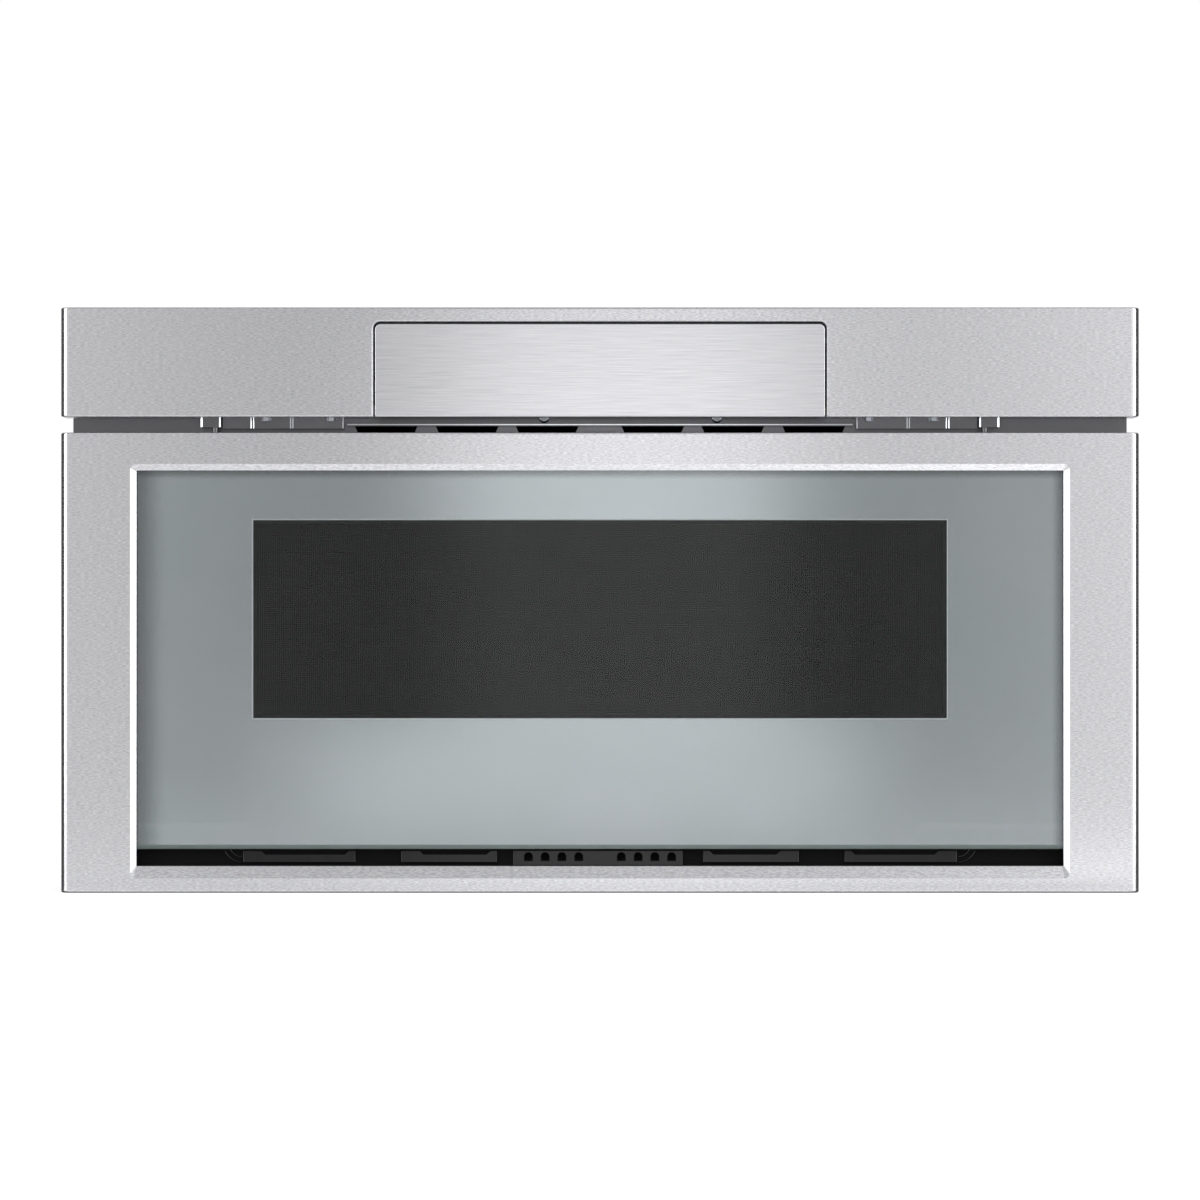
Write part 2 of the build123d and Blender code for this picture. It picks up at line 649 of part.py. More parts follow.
def door_mask():
    """The black window surround, with the bars that press the glass against the frame."""
    sheet = ring(GLASS_HALF, GLASS_BOTTOM, GLASS_TOP, SIGHT_HALF, SIGHT_BOTTOM, SIGHT_TOP,
                 MASK_Y, MASK_Y + MASK_T)
    back = DOOR_BACK_Y - 1.5
    bars = []
    for side in (-1, 1):
        x = sorted((side * 316.0, side * RETAINER_X))
        bars.append(block(x[0], x[1], MASK_Y, back, 36.0, 286.0))
    clear_y = DOOR_BACK_Y - CHOKE_DEPTH - 3
    outline = [(MASK_Y, 286.0), (MASK_Y, 311.0), (back, 311.0)]
    outline += [(back, 302.5), (clear_y, 302.5), (clear_y, 286.0)]
    bars.append(side_profile(outline, -RETAINER_X, RETAINER_X))
    return sheet + bars - door_screws()


def door_screen():
    """The perforated screen, a thin sheet behind the mask."""
    return block(-SCREEN_HALF, SCREEN_HALF, SCREEN_Y, SCREEN_Y + SCREEN_T,
                 SIGHT_BOTTOM - SCREEN_MARGIN, SIGHT_TOP + SCREEN_MARGIN)


def door_inner_glass():
    return block(-SCREEN_HALF, SCREEN_HALF, INNER_GLASS_Y, INNER_GLASS_Y + INNER_GLASS_T,
                 SIGHT_BOTTOM - SCREEN_MARGIN, SIGHT_TOP + SCREEN_MARGIN)


def choke_ring(inset, y0, y1):
    """A frame that runs around the cavity mouth."""
    return ring(CHOKE_IN + CHOKE_W - inset, CHOKE_LOW - CHOKE_W + inset, CHOKE_HIGH + CHOKE_W - inset,
                CHOKE_IN + inset, CHOKE_LOW - inset, CHOKE_HIGH + inset, y0, y1)


def door_pan():
    """The inner door: back sheet, window tunnel and the choke channel round the mouth."""
    half = HALF_W - SKIN
    sheet = block(-half, half, DOOR_BACK_Y - 1.5, DOOR_BACK_Y, DOOR_BOTTOM + SKIN, DOOR_TOP - SKIN)
    front = INNER_GLASS_Y + INNER_GLASS_T
    tunnel = ring(SIGHT_HALF + 1.2, SIGHT_BOTTOM - 1.2, SIGHT_TOP + 1.2, SIGHT_HALF, SIGHT_BOTTOM,
                  SIGHT_TOP, front, DOOR_BACK_Y)
    lip = ring(SCREEN_HALF, SIGHT_BOTTOM - SCREEN_MARGIN, SIGHT_TOP + SCREEN_MARGIN, SIGHT_HALF,
               SIGHT_BOTTOM, SIGHT_TOP, front, front + 1.2)
    opening = block(-SIGHT_HALF, SIGHT_HALF, -300, -260, SIGHT_BOTTOM, SIGHT_TOP)
    channel = choke_ring(-1.2, DOOR_BACK_Y - CHOKE_DEPTH, DOOR_BACK_Y)
    groove = choke_ring(0.0, DOOR_BACK_Y - CHOKE_DEPTH + 1.2, DOOR_BACK_Y + 1)
    return sheet + channel + tunnel + lip - opening - groove - door_screws()


def choke_cover():
    return choke_ring(0.0, DOOR_BACK_Y - 2.5, DOOR_BACK_Y)


SILL_Y = -294.0
SILL_HOLES = (15.0, 26.9, 38.7, 50.5)


def sill_panel():
    """The matt black moulding in the slot under the glass, with its air holes."""
    end = GLASS_HALF
    floor = block(-end, end, GLASS_Y, SILL_Y + 2, WINDOW_BOTTOM - 2, WINDOW_BOTTOM)
    wall = block(-end, end, SILL_Y, SILL_Y + 2, WINDOW_BOTTOM, 34)
    ends = []
    for side in (-1, 1):
        x = sorted((side * WINDOW_HALF, side * end))
        ends.append(block(x[0], x[1], GLASS_Y, SILL_Y, WINDOW_BOTTOM, GLASS_BOTTOM - 0.3))
    holes = []
    for x in SILL_HOLES:
        for side in (-1, 1):
            holes.append(rod_y(side * x, SILL_Y - 3, SILL_Y + 3, 16.2, 2.6))
    struts = []
    for x in (-310.0, -105.0, 105.0, 310.0):
        struts.append(block(x - 4, x + 4, SILL_Y + 2, DOOR_BACK_Y - 1.5, 12, 30))
    return floor + wall + ends + struts - holes


def sill_pad(x0, x1, z0, z1):
    """A glossy pad on the sill's wall whose face leans back towards its top."""
    outline = [(SILL_Y, z0), (SILL_Y - 2.2, z0), (SILL_Y - 1.3, z1), (SILL_Y, z1)]
    pad = side_profile(outline, x0, x1)
    upright = [edge for edge in pad.faces().sort_by(Axis.Y)[0].edges() if abs(edge.center().X -
               (x0 + x1) / 2) > 0.4 * (x1 - x0)]
    return fillet(upright, 0.8)


def sill_pads():
    """The centre pad with eight arched holes, four notched pads and a pair of curled ribs."""
    centre = sill_pad(-61.5, 58.5, 10.2, 20.2)
    arches = []
    for x in SILL_HOLES:
        for side in (-1, 1):
            arches.append(rod_y(side * x, SILL_Y - 3, SILL_Y + 1, 16.2, 3.1))
            arches.append(block(side * x - 3.1, side * x + 3.1, SILL_Y - 3, SILL_Y + 1, 13.0, 16.2))
    pads = [centre - arches]
    for x0, x1 in ((72.5, 140.5), (172.4, 252.0)):
        notch = [(x0 + 4, 21.0), (x0 + 7.5, 17.6), (x1 - 16, 17.6), (x1 - 12.5, 21.0)]
        pads.append(both_sides(sill_pad(x0, x1, 12.4, 20.2) -
                               front_profile(notch, SILL_Y - 3, SILL_Y + 1)))
    for radius in (9.5, 13.5):
        centre_line = Plane.XZ * Pos(252.0, 25.4) * CenterArc((0, 0), radius, -85, 62)
        path = Pos(0, SILL_Y - 0.2, 0) * centre_line
        rib = sweep(Plane(path @ 0, z_dir=path % 0) * Circle(0.75), path)
        pads.append(both_sides(rib & block(0, GLASS_HALF, SILL_Y - 2, SILL_Y, 9.9, 30)))
    return group(pads)


# ---- drawer body ----
def tub_form(half, y1, z0, z1, corner, floor_edge):
    """A box, open towards the front, with rounded rear corners and floor edges."""
    form = block(-half, half, DOOR_BACK_Y, y1, z0, z1)
    rear = form.edges().filter_by(Axis.Z).group_by(Axis.Y)[-1]
    form = fillet(rear, corner)
    bottom = form.faces().sort_by(Axis.Z)[0]
    edges = [edge for edge in bottom.edges() if edge.center().Y > DOOR_BACK_Y + 1]
    return fillet(edges, floor_edge)


def drawer_tub():
    """The pressed steel tub that food stands in; the door closes its front."""
    shell = tub_form(TUB_HALF, TUB_REAR, TUB_BOTTOM, TUB_TOP, TUB_R, TUB_FLOOR_R)
    room = tub_form(TUB_HALF - TUB_WALL, TUB_REAR - TUB_WALL, TUB_BOTTOM + TUB_WALL, TUB_TOP + 5,
                    TUB_R - TUB_WALL, TUB_FLOOR_R - TUB_WALL)
    wide = TUB_HALF + TUB_FLANGE
    flange = ring(wide, TUB_BOTTOM + TUB_FLOOR_R, TUB_TOP, TUB_HALF - TUB_WALL, TUB_BOTTOM, 400,
                  DOOR_BACK_Y, DOOR_BACK_Y + 1.0)
    tongue = block(-TUB_HALF, TUB_HALF, DOOR_BACK_Y, DOOR_BACK_Y + 1.0, TUB_BOTTOM - 3,
                   TUB_BOTTOM + 0.5)
    return shell - room + flange + tongue


def tub_tray():
    """The glass-ceramic tray on the tub's floor."""
    z0 = TUB_BOTTOM + TUB_WALL
    middle_y = (DOOR_BACK_Y + TUB_REAR) / 2
    deep = TUB_REAR - DOOR_BACK_Y - 30
    face = Pos(0, middle_y, z0) * RectangleRounded(2 * TUB_HALF - 24, deep, 14)
    tray = extrude(face, amount=TRAY_T)
    dish = Pos(0, middle_y, z0 + TRAY_T - 1.5) * RectangleRounded(2 * TUB_HALF - 48, deep - 24, 10)
    return tray - extrude(dish, amount=5)


ARM_X0 = 238.6
ARM_X1 = 241.6
ARM_REAR = -140.0


def drawer_arms():
    """The welded arms that tie the door to the slides' inner members."""
    arm = block(ARM_X0, ARM_X1, DOOR_BACK_Y, ARM_REAR, RAIL_Z - 8.8, RAIL_Z + 8.8)
    flange = block(ARM_X0, ARM_X0 + 12.4, DOOR_BACK_Y, DOOR_BACK_Y + 1.5, RAIL_Z - 15, RAIL_Z + 14)
    web = side_profile([(DOOR_BACK_Y, RAIL_Z - 15), (DOOR_BACK_Y, RAIL_Z + 14),
                        (RAIL_FRONT - 1, RAIL_Z + 8.8), (RAIL_FRONT - 1, RAIL_Z - 8.8)],
                       ARM_X0, ARM_X1)
    return both_sides(arm + flange + web)


def door_hooks():
    """The two hooks that reach through the flange and trip the interlock switches."""
    x0 = HOOK_X - HOOK_HALF_T
    x1 = HOOK_X + HOOK_HALF_T
    outline = [(DOOR_BACK_Y, HOOK_Z - 9), (DOOR_BACK_Y, HOOK_Z + 9)]
    outline += [(DOOR_BACK_Y + 32, HOOK_Z + 9), (DOOR_BACK_Y + 38, HOOK_Z + 3)]
    outline += [(DOOR_BACK_Y + 38, HOOK_Z - 11), (DOOR_BACK_Y + 28, HOOK_Z - 11)]
    outline += [(DOOR_BACK_Y + 28, HOOK_Z - 2), (DOOR_BACK_Y + 12, HOOK_Z - 2)]
    outline += [(DOOR_BACK_Y + 4, HOOK_Z - 9)]
    return both_sides(side_profile(outline, x0, x1))


# ---- telescopic slides ----
def channel(x_open, x_web, half, sheet, rear):
    """A C section, open towards smaller X, web at larger X, on the right side."""
    body = block(x_open, x_web, RAIL_FRONT, rear, RAIL_Z - half, RAIL_Z + half)
    inner = half - sheet
    room = block(x_open - 1, x_web - sheet, RAIL_FRONT - 1, rear + 1, RAIL_Z - inner,
                 RAIL_Z + inner)
    return body - room


def rail_outers():
    rail = channel(237.5, 249.0, OUTER_HALF, RAIL_SHEET, RAIL_REAR)
    stop = block(242.0, 249.0, RAIL_REAR, RAIL_REAR + 1.5, RAIL_Z - 9, RAIL_Z + 9)
    slots = [block(247, 250, y, y + 12, RAIL_Z - 2.5, RAIL_Z + 2.5) for y in (-230, -60, 110)]
    return both_sides(rail - slots + stop)


def rail_middles():
    return both_sides(channel(238.0, 245.4, MIDDLE_HALF, RAIL_SHEET, RAIL_REAR - RAIL_PLAY))


def rail_inners():
    return both_sides(channel(236.2, 243.0, INNER_HALF, RAIL_SHEET, RAIL_REAR - RAIL_PLAY))


def ball_cage(x0, x1, web_t, ball_x, row_z):
    """Two rows of balls in a thin U-shaped retainer."""
    rear = CAGE_FRONT + CAGE_LENGTH
    cage = block(x1 - web_t, x1, CAGE_FRONT, rear, RAIL_Z - row_z, RAIL_Z + row_z)
    pieces = []
    for side in (-1, 1):
        z = RAIL_Z + side * row_z
        pieces.append(block(x0, x1, CAGE_FRONT, rear, z - 0.5, z + 0.5))
        for index in range(BALLS_PER_ROW):
            y = CAGE_FRONT + CAGE_LENGTH * (index + 0.5) / BALLS_PER_ROW
            pieces.append(Pos(ball_x, y, z) * Sphere(BALL_R))
    return both_sides(cage + pieces)


def outer_ball_cages():
    row = (OUTER_HALF - RAIL_SHEET + MIDDLE_HALF) / 2
    return ball_cage(239.0, 246.9, 0.8, 242.0, row)


def inner_ball_cages():
    row = (MIDDLE_HALF - RAIL_SHEET + INNER_HALF) / 2
    return ball_cage(237.4, 243.8, 0.5, 240.2, row)


def rail_brackets():
    """The upright brackets that carry the slides above the base pan."""
    wall = block(249.0, 250.8, PLATE_Y + 6, 172, SHEET, RAIL_Z + 23.5)
    foot = block(228.0, 249.0, PLATE_Y + 6, 172, SHEET, SHEET + 1.8)
    holes = [block(248, 252, y, y + 60, 10, 30) for y in (-200, -80, 40)]
    return both_sides(wall + foot - holes)


# ---- rack drive ----
def drive_rack():
    """A straight rack fixed to the door, its teeth towards the pinion."""
    back_x = RACK_PITCH_X - 11.0
    root_x = RACK_PITCH_X - 1.25 * RACK_MODULE
    tip_x = RACK_PITCH_X + RACK_MODULE
    lean = tan(radians(PRESSURE_ANGLE))
    half = RACK_PITCH / 4 - RACK_BACKLASH / 4
    root_half = half + (RACK_PITCH_X - root_x) * lean
    tip_half = half - (tip_x - RACK_PITCH_X) * lean
    points = [(back_x, DOOR_BACK_Y), (root_x, DOOR_BACK_Y)]
    count = int((RACK_REAR - PINION_Y) / RACK_PITCH)
    for index in range(-2, count):
        y = PINION_Y + (index + 0.5) * RACK_PITCH
        points.append((root_x, y - root_half))
        points.append((tip_x, y - tip_half))
        points.append((tip_x, y + tip_half))
        points.append((root_x, y + root_half))
    points += [(root_x, RACK_REAR), (back_x, RACK_REAR)]
    bar = extrude(Polygon(*points, align=None), amount=RACK_Z1 - RACK_Z0)
    return Pos(0, 0, RACK_Z0) * bar


SHAFT_R = 4.0


def drive_pinion():
    wheel = gear(PINION_TEETH, RACK_MODULE, RACK_BACKLASH, RACK_Z1 - RACK_Z0)
    wheel = Pos(PINION_X, PINION_Y, RACK_Z0) * wheel
    shaft = rod_z(PINION_X, PINION_Y, 22.0, RACK_Z0, SHAFT_R)
    return wheel + shaft + rod_z(PINION_X, PINION_Y, RACK_Z1, RACK_Z1 + 3, 6.0)


def drive_motor():
    """The gearmotor on the base pan that runs the drawer in and out."""
    box = block(1.5, 62.0, -262.0, -205.0, SHEET + 3, 36.0)
    box = fillet(box.edges().filter_by(Axis.Z), 4.0)
    feet = block(1.5, 70.0, -258.0, -209.0, SHEET, SHEET + 3)
    can = rod_y(42.0, -205.0, -150.0, 20.0, 15.0)
    end = rod_y(42.0, -150.0, -146.0, 20.0, 6.0)
    bore = rod_z(PINION_X, PINION_Y, 20.0, 37.0, SHAFT_R + RUNNING_FIT)
    return box + feet + can + end - bore


def rack_guides():
    """Two slotted nylon blocks that keep the rack straight."""
    back_x = RACK_PITCH_X - 11.0
    guides = []
    for y in (-225.0, 60.0):
        guide = block(-20, 0, y, y + 28, SHEET, RACK_Z1 + 8)
        slot = block(back_x - 0.4, 1, y - 1, y + 29, RACK_Z0 - 0.4, RACK_Z1 + 0.4)
        guides.append(guide - slot)
    return group(guides)


# ---- cavity and microwave parts ----
FEED_R = 20.0
LAMP_X = -190.0
LAMP_Y = 40.0


def cavity_shell():
    """The fixed, shielded cavity that the tub slides into."""
    shell = block(-CAVITY_HALF, CAVITY_HALF, PLATE_Y, CAVITY_REAR, CAVITY_BOTTOM, CAVITY_TOP)
    wall = CAVITY_WALL
    room = block(-CAVITY_HALF + wall, CAVITY_HALF - wall, PLATE_Y - 1, CAVITY_REAR - wall,
                 CAVITY_BOTTOM + wall, CAVITY_TOP - wall)
    cuts = [rod_z(0, 0, CAVITY_TOP - 5, CAVITY_TOP + 5, FEED_R)]
    for row in range(4):
        for column in range(6):
            y = 60.0 + 9.0 * column
            z = 235.0 + 9.0 * row
            cuts.append(rod_x(-CAVITY_HALF - 5, -CAVITY_HALF + 5, y, z, 2.0))
            cuts.append(rod_x(CAVITY_HALF - 5, CAVITY_HALF + 5, y, z, 2.0))
    for row in range(3):
        for column in range(3):
            x = LAMP_X + 6.0 * (column - 1)
            y = LAMP_Y + 6.0 * (row - 1)
            cuts.append(rod_z(x, y, CAVITY_TOP - 5, CAVITY_TOP + 5, 1.8))
    return shell - room - cuts


MAGNETRON_X = 302.0
GUIDE_HALF = 40.0
GUIDE_TOP = CAVITY_TOP + 32.0
GUIDE_END = 348.0


def waveguide():
    """The closed rectangular tube from the magnetron to the stirrer."""
    tube = block(-46, GUIDE_END, -GUIDE_HALF, GUIDE_HALF, CAVITY_TOP, GUIDE_TOP)
    room = block(-45, GUIDE_END - 1, -GUIDE_HALF + 1, GUIDE_HALF - 1, CAVITY_TOP + 1, GUIDE_TOP - 1)
    holes = [rod_z(0, 0, CAVITY_TOP - 1, CAVITY_TOP + 3, FEED_R)]
    holes.append(rod_z(0, 0, GUIDE_TOP - 3, GUIDE_TOP + 1, 5.0))
    holes.append(rod_z(MAGNETRON_X, 0, CAVITY_TOP - 1, CAVITY_TOP + 3, 10.0))
    return tube - room - holes


def stirrer_cover():
    """The mica sheet under the stirrer, hung on four posts."""
    sheet = block(-150, 150, -120, 120, 278.5, 279.7)
    posts = []
    for x in (-140.0, 140.0):
        for y in (-110.0, 110.0):
            posts.append(rod_z(x, y, 279.7, CAVITY_TOP - CAVITY_WALL, 4.0))
    return sheet + posts


STIRRER_SHAFT_R = 3.0


def stirrer_motor():
    can = rod_z(0, 0, GUIDE_TOP, GUIDE_TOP + 20, 24.0)
    can = fillet(can.edges().group_by(Axis.Z)[-1], 3.0)
    ears = block(-34, 34, -8, 8, GUIDE_TOP, GUIDE_TOP + 1.5)
    ears = ears - [rod_z(side * 29.0, 0, GUIDE_TOP - 1, GUIDE_TOP + 3, 2.0) for side in (-1, 1)]
    return can + ears - rod_z(0, 0, GUIDE_TOP - 1, GUIDE_TOP + 14, STIRRER_SHAFT_R + RUNNING_FIT)


def stirrer_blade():
    """Three tilted metal blades on the stirrer's shaft."""
    hub = rod_z(0, 0, STIRRER_Z - 2.5, STIRRER_Z + 2.5, 9.0)
    shaft = rod_z(0, 0, STIRRER_Z, GUIDE_TOP + 12, STIRRER_SHAFT_R)
    blades = []
    for index in range(3):
        blade = Pos(46, 0, 0) * Rot(10, 0, 0) * Box(80, 20, 1.0)
        blades.append(Pos(0, 0, STIRRER_Z) * Rot(0, 0, 120 * index) * blade)
    return hub + shaft + blades


def magnetron():
    """Yoke, cooling fins, filter box and antenna, hung under the waveguide."""
    x = MAGNETRON_X
    top = CAVITY_TOP
    flange = block(x - 46, x + 46, -40, 40, top - 3, top)
    yoke = block(x - 40, x + 40, -34, 34, 205, top - 3)
    yoke = yoke - block(x - 38, x + 38, -35, 35, 207, top - 5)
    anode = rod_z(x, 0, 207, top - 5, 19.0)
    fins = []
    for index in range(8):
        z = 218.0 + 7.5 * index
        fins.append(block(x - 38, x + 38, -30, 30, z, z + 0.8))
    magnet = rod_z(x, 0, 207, 213, 27.0) + rod_z(x, 0, top - 11, top - 5, 27.0)
    box = block(x - 38, x + 38, -28, 28, 170, 205)
    antenna = rod_z(x, 0, top, top + 24, 7.5)
    antenna = fillet(antenna.edges().group_by(Axis.Z)[-1], 2.0)
    return flange + yoke + anode + magnet + fins + box + antenna


CORE_X = -303.0
CORE_Y = -70.0


def transformer_core():
    """The laminated E-I core with its welded foot plate."""
    core = block(CORE_X - 38, CORE_X + 38, CORE_Y - 50, CORE_Y + 50, SHEET + 2, SHEET + 84)
    windows = []
    for z in (SHEET + 12, SHEET + 54):
        windows.append(block(CORE_X - 40, CORE_X + 40, CORE_Y - 36, CORE_Y + 36, z, z + 18))
    foot = block(CORE_X - 44, CORE_X + 44, CORE_Y - 50, CORE_Y + 50, SHEET, SHEET + 2)
    return core - windows + foot


def transformer_windings():
    """The two coils round the middle leg, side by side."""
    coils = []
    for y0, y1 in ((CORE_Y - 35, CORE_Y - 2), (CORE_Y + 2, CORE_Y + 35)):
        coil = block(CORE_X - 50, CORE_X + 50, y0, y1, SHEET + 13, SHEET + 71)
        coil = fillet(coil.edges().filter_by(Axis.Y), 9.0)
        leg = block(CORE_X - 38, CORE_X + 38, y0 - 1, y1 + 1, SHEET + 30, SHEET + 54)
        coils.append(coil - leg)
    return group(coils)


def hv_capacitor():
    x = -300.0
    y = 45.0
    face = Pos(x, y, SHEET) * SlotOverall(66, 34)
    can = extrude(face, amount=92)
    tabs = []
    for dx in (-12.0, 12.0):
        tabs.append(rod_z(x + dx, y, SHEET + 92, SHEET + 97, 5.0))
        tabs.append(block(x + dx - 3, x + dx + 3, y - 0.4, y + 0.4, SHEET + 97, SHEET + 106))
    return can + tabs


def power_board():
    """The power board on four posts over the cavity, with relays and a heat sink."""
    z0 = CAVITY_TOP + 9
    board = block(-235, -75, -215, -90, z0, z0 + 1.6)
    pieces = []
    for x in (-228.0, -82.0):
        for y in (-208.0, -97.0):
            pieces.append(rod_z(x, y, CAVITY_TOP, z0, 3.0))
    for index in range(4):
        x = -220.0 + 26.0 * index
        pieces.append(block(x, x + 19, -130, -104, z0 + 1.6, z0 + 18))
    for index in range(7):
        pieces.append(block(-200, -140, -180 + 5 * index, -178 + 5 * index, z0 + 1.6, z0 + 30))
    pieces.append(block(-200, -140, -180, -148, z0 + 1.6, z0 + 5))
    pieces.append(rod_z(-105, -170, z0 + 1.6, z0 + 32, 11.0))
    pieces.append(rod_z(-105, -140, z0 + 1.6, z0 + 26, 8.0))
    return board + pieces


def oven_lamp():
    """The lamp holder over the pierced patch of the cavity's ceiling."""
    holder = block(LAMP_X - 16, LAMP_X + 16, LAMP_Y - 20, LAMP_Y + 20, CAVITY_TOP, CAVITY_TOP + 30)
    socket = rod_y(LAMP_X, LAMP_Y + 20, LAMP_Y + 32, CAVITY_TOP + 16, 10.0)
    foot = block(LAMP_X - 24, LAMP_X + 24, LAMP_Y - 10, LAMP_Y + 10, CAVITY_TOP, CAVITY_TOP + 2)
    return holder + socket + foot


# ---- fan ----
def fan_shroud():
    """The square fan frame on the back panel."""
    side = 70.0
    frame = block(FAN_X - side, FAN_X + side, 238.0, REAR_Y - SHEET, FAN_Z - side, FAN_Z + side)
    return frame - rod_y(FAN_X, 237, REAR_Y, FAN_Z, FAN_R + 3)


def fan_motor():
    """The shaded-pole motor on a four-armed spider in front of the shroud."""
    can = rod_y(FAN_X, 204, 232, FAN_Z, 26.0)
    stack = block(FAN_X - 30, FAN_X + 30, 212, 224, FAN_Z - 34, FAN_Z + 30)
    pieces = []
    for angle in (45.0, 135.0, 225.0, 315.0):
        arm = Pos(48, 0, 0) * Box(96, 8, 3)
        arm = Pos(FAN_X, 236.5, FAN_Z) * Rot(90, 0, 0) * Rot(0, 0, angle) * arm
        pieces.append(arm)
    boss = rod_y(FAN_X, 232, 238, FAN_Z, 12.0)
    bore = rod_y(FAN_X, 220, 239, FAN_Z, 2.5 + RUNNING_FIT)
    return can + stack + pieces + boss - bore


def fan_blade():
    """Five pitched blades on a hub; the shaft runs into the motor."""
    hub = rod_y(FAN_X, FAN_Y0, FAN_Y1, FAN_Z, 15.0)
    shaft = rod_y(FAN_X, 222, FAN_Y0, FAN_Z, 2.5)
    blades = []
    for index in range(5):
        blade = Pos(33, 0, 0) * Rot(28, 0, 0) * Box(44, 26, 1.6)
        blade = Rot(90, 0, 0) * Rot(0, 0, 72 * index) * blade
        blades.append(Pos(FAN_X, (FAN_Y0 + FAN_Y1) / 2, FAN_Z) * blade)
    return hub + shaft + blades


# ---- interlock ----
def interlock_switches():
    """A slotted guide for each hook; the right one carries three microswitches."""
    y0 = PLATE_Y
    y1 = PLATE_Y + 44
    guide = block(HOOK_X - 14, HOOK_X + 14, y0, y1, HOOK_Z - 32, HOOK_Z + 32)
    guide = guide - block(HOOK_X - 6, HOOK_X + 6, y0 - 1, y1 - 5, HOOK_Z - 20, HOOK_Z + 20)
    left = mirror(guide, Plane.YZ)
    pieces = [left]
    switches = []
    for index in range(3):
        z = HOOK_Z - 28.0 + 20.0 * index
        switches.append(block(HOOK_X + 14, HOOK_X + 24, y0 + 6, y0 + 34, z, z + 16))
        switches.append(block(HOOK_X + 24, HOOK_X + 30, y0 + 10, y0 + 11, z + 5, z + 11))
        switches.append(block(HOOK_X + 24, HOOK_X + 30, y0 + 28, y0 + 29, z + 5, z + 11))
    pieces.append(guide + switches)
    return group(pieces)


PARTS = {
    "base_pan": base_pan,
    "left_side_panel": left_side_panel,
    "right_side_panel": right_side_panel,
    "top_cover": top_cover,
    "back_panel": back_panel,
    "front_plate": front_plate,
    "vent_duct": vent_duct,
    "gap_brackets": gap_brackets,
    "gap_lip": gap_lip,
    "console_skin": console_skin,
    "console_back": console_back,
    "flap_brackets": flap_brackets,
    "flap_bushes": flap_bushes,
    "flap_motor": flap_motor,
    "flap_pinion": flap_pinion,
    "flap_skin": flap_skin,
    "flap_housing": flap_housing,
    "flap_touch_glass": flap_touch_glass,
    "flap_sector": flap_sector,
    "door_frame": door_frame,
    "door_glass": door_glass,
    "door_mask": door_mask,
    "door_screen": door_screen,
    "door_inner_glass": door_inner_glass,
    "door_pan": door_pan,
    "choke_cover": choke_cover,
    "sill_panel": sill_panel,
    "sill_pads": sill_pads,
    "door_screws": door_screw_group,
    "door_hooks": door_hooks,
    "drawer_tub": drawer_tub,
    "tub_tray": tub_tray,
    "drawer_arms": drawer_arms,
    "rail_outers": rail_outers,
    "rail_middles": rail_middles,
    "rail_inners": rail_inners,
    "outer_ball_cages": outer_ball_cages,
    "inner_ball_cages": inner_ball_cages,
    "rail_brackets": rail_brackets,
    "drive_rack": drive_rack,
    "drive_pinion": drive_pinion,
    "drive_motor": drive_motor,
    "rack_guides": rack_guides,
    "cavity_shell": cavity_shell,
    "waveguide": waveguide,
    "stirrer_cover": stirrer_cover,
    "stirrer_motor": stirrer_motor,
    "stirrer_blade": stirrer_blade,
    "magnetron": magnetron,
    "transformer_core": transformer_core,
    "transformer_windings": transformer_windings,
    "hv_capacitor": hv_capacitor,
    "power_board": power_board,
    "oven_lamp": oven_lamp,
    "fan_shroud": fan_shroud,
    "fan_motor": fan_motor,
    "fan_blade": fan_blade,
    "interlock_switches": interlock_switches,
    "cord_gland": cord_gland,
    "chassis_screws": chassis_screws,
}

os.makedirs("parts", exist_ok=True)
for name, make in PARTS.items():
    export_step(make(), f"parts/{name}.step")
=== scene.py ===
"""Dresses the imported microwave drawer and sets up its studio. Metres, +Z up, the front faces -Y."""

import json
from math import pi, radians

import bmesh
import bpy
from bpy.props import FloatProperty, FloatVectorProperty, PointerProperty
from bpy.types import Operator, Panel, PropertyGroup
from mathutils import Matrix, Vector

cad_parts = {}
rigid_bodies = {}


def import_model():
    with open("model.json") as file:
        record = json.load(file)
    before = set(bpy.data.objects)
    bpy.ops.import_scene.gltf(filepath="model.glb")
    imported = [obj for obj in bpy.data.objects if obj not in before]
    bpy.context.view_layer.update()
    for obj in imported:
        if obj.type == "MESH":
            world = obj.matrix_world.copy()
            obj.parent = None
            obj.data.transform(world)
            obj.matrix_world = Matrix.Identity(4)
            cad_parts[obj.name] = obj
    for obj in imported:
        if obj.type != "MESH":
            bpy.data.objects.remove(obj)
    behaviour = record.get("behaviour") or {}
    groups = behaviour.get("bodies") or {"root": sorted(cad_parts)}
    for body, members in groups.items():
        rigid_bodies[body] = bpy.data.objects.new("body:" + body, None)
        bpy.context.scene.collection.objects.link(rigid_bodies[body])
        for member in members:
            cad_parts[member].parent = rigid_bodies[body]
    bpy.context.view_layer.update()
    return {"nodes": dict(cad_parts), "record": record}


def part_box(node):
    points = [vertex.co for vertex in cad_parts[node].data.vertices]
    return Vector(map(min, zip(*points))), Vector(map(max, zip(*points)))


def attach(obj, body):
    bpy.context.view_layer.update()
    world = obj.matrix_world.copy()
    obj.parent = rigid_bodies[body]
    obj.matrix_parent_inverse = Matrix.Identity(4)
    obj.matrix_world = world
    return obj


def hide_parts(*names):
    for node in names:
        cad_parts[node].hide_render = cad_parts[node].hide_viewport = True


bl_info = {
    "name": "Microwave drawer",
    "version": (1, 0, 0),
    "blender": (4, 5, 0),
    "location": "View3D > Sidebar > Drawer",
    "description": "Finishes, window screen, printed glass and studio of a microwave drawer",
    "category": "Object",
}

for leftover in list(bpy.data.objects):
    bpy.data.objects.remove(leftover)

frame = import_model()
NODES = frame["nodes"]

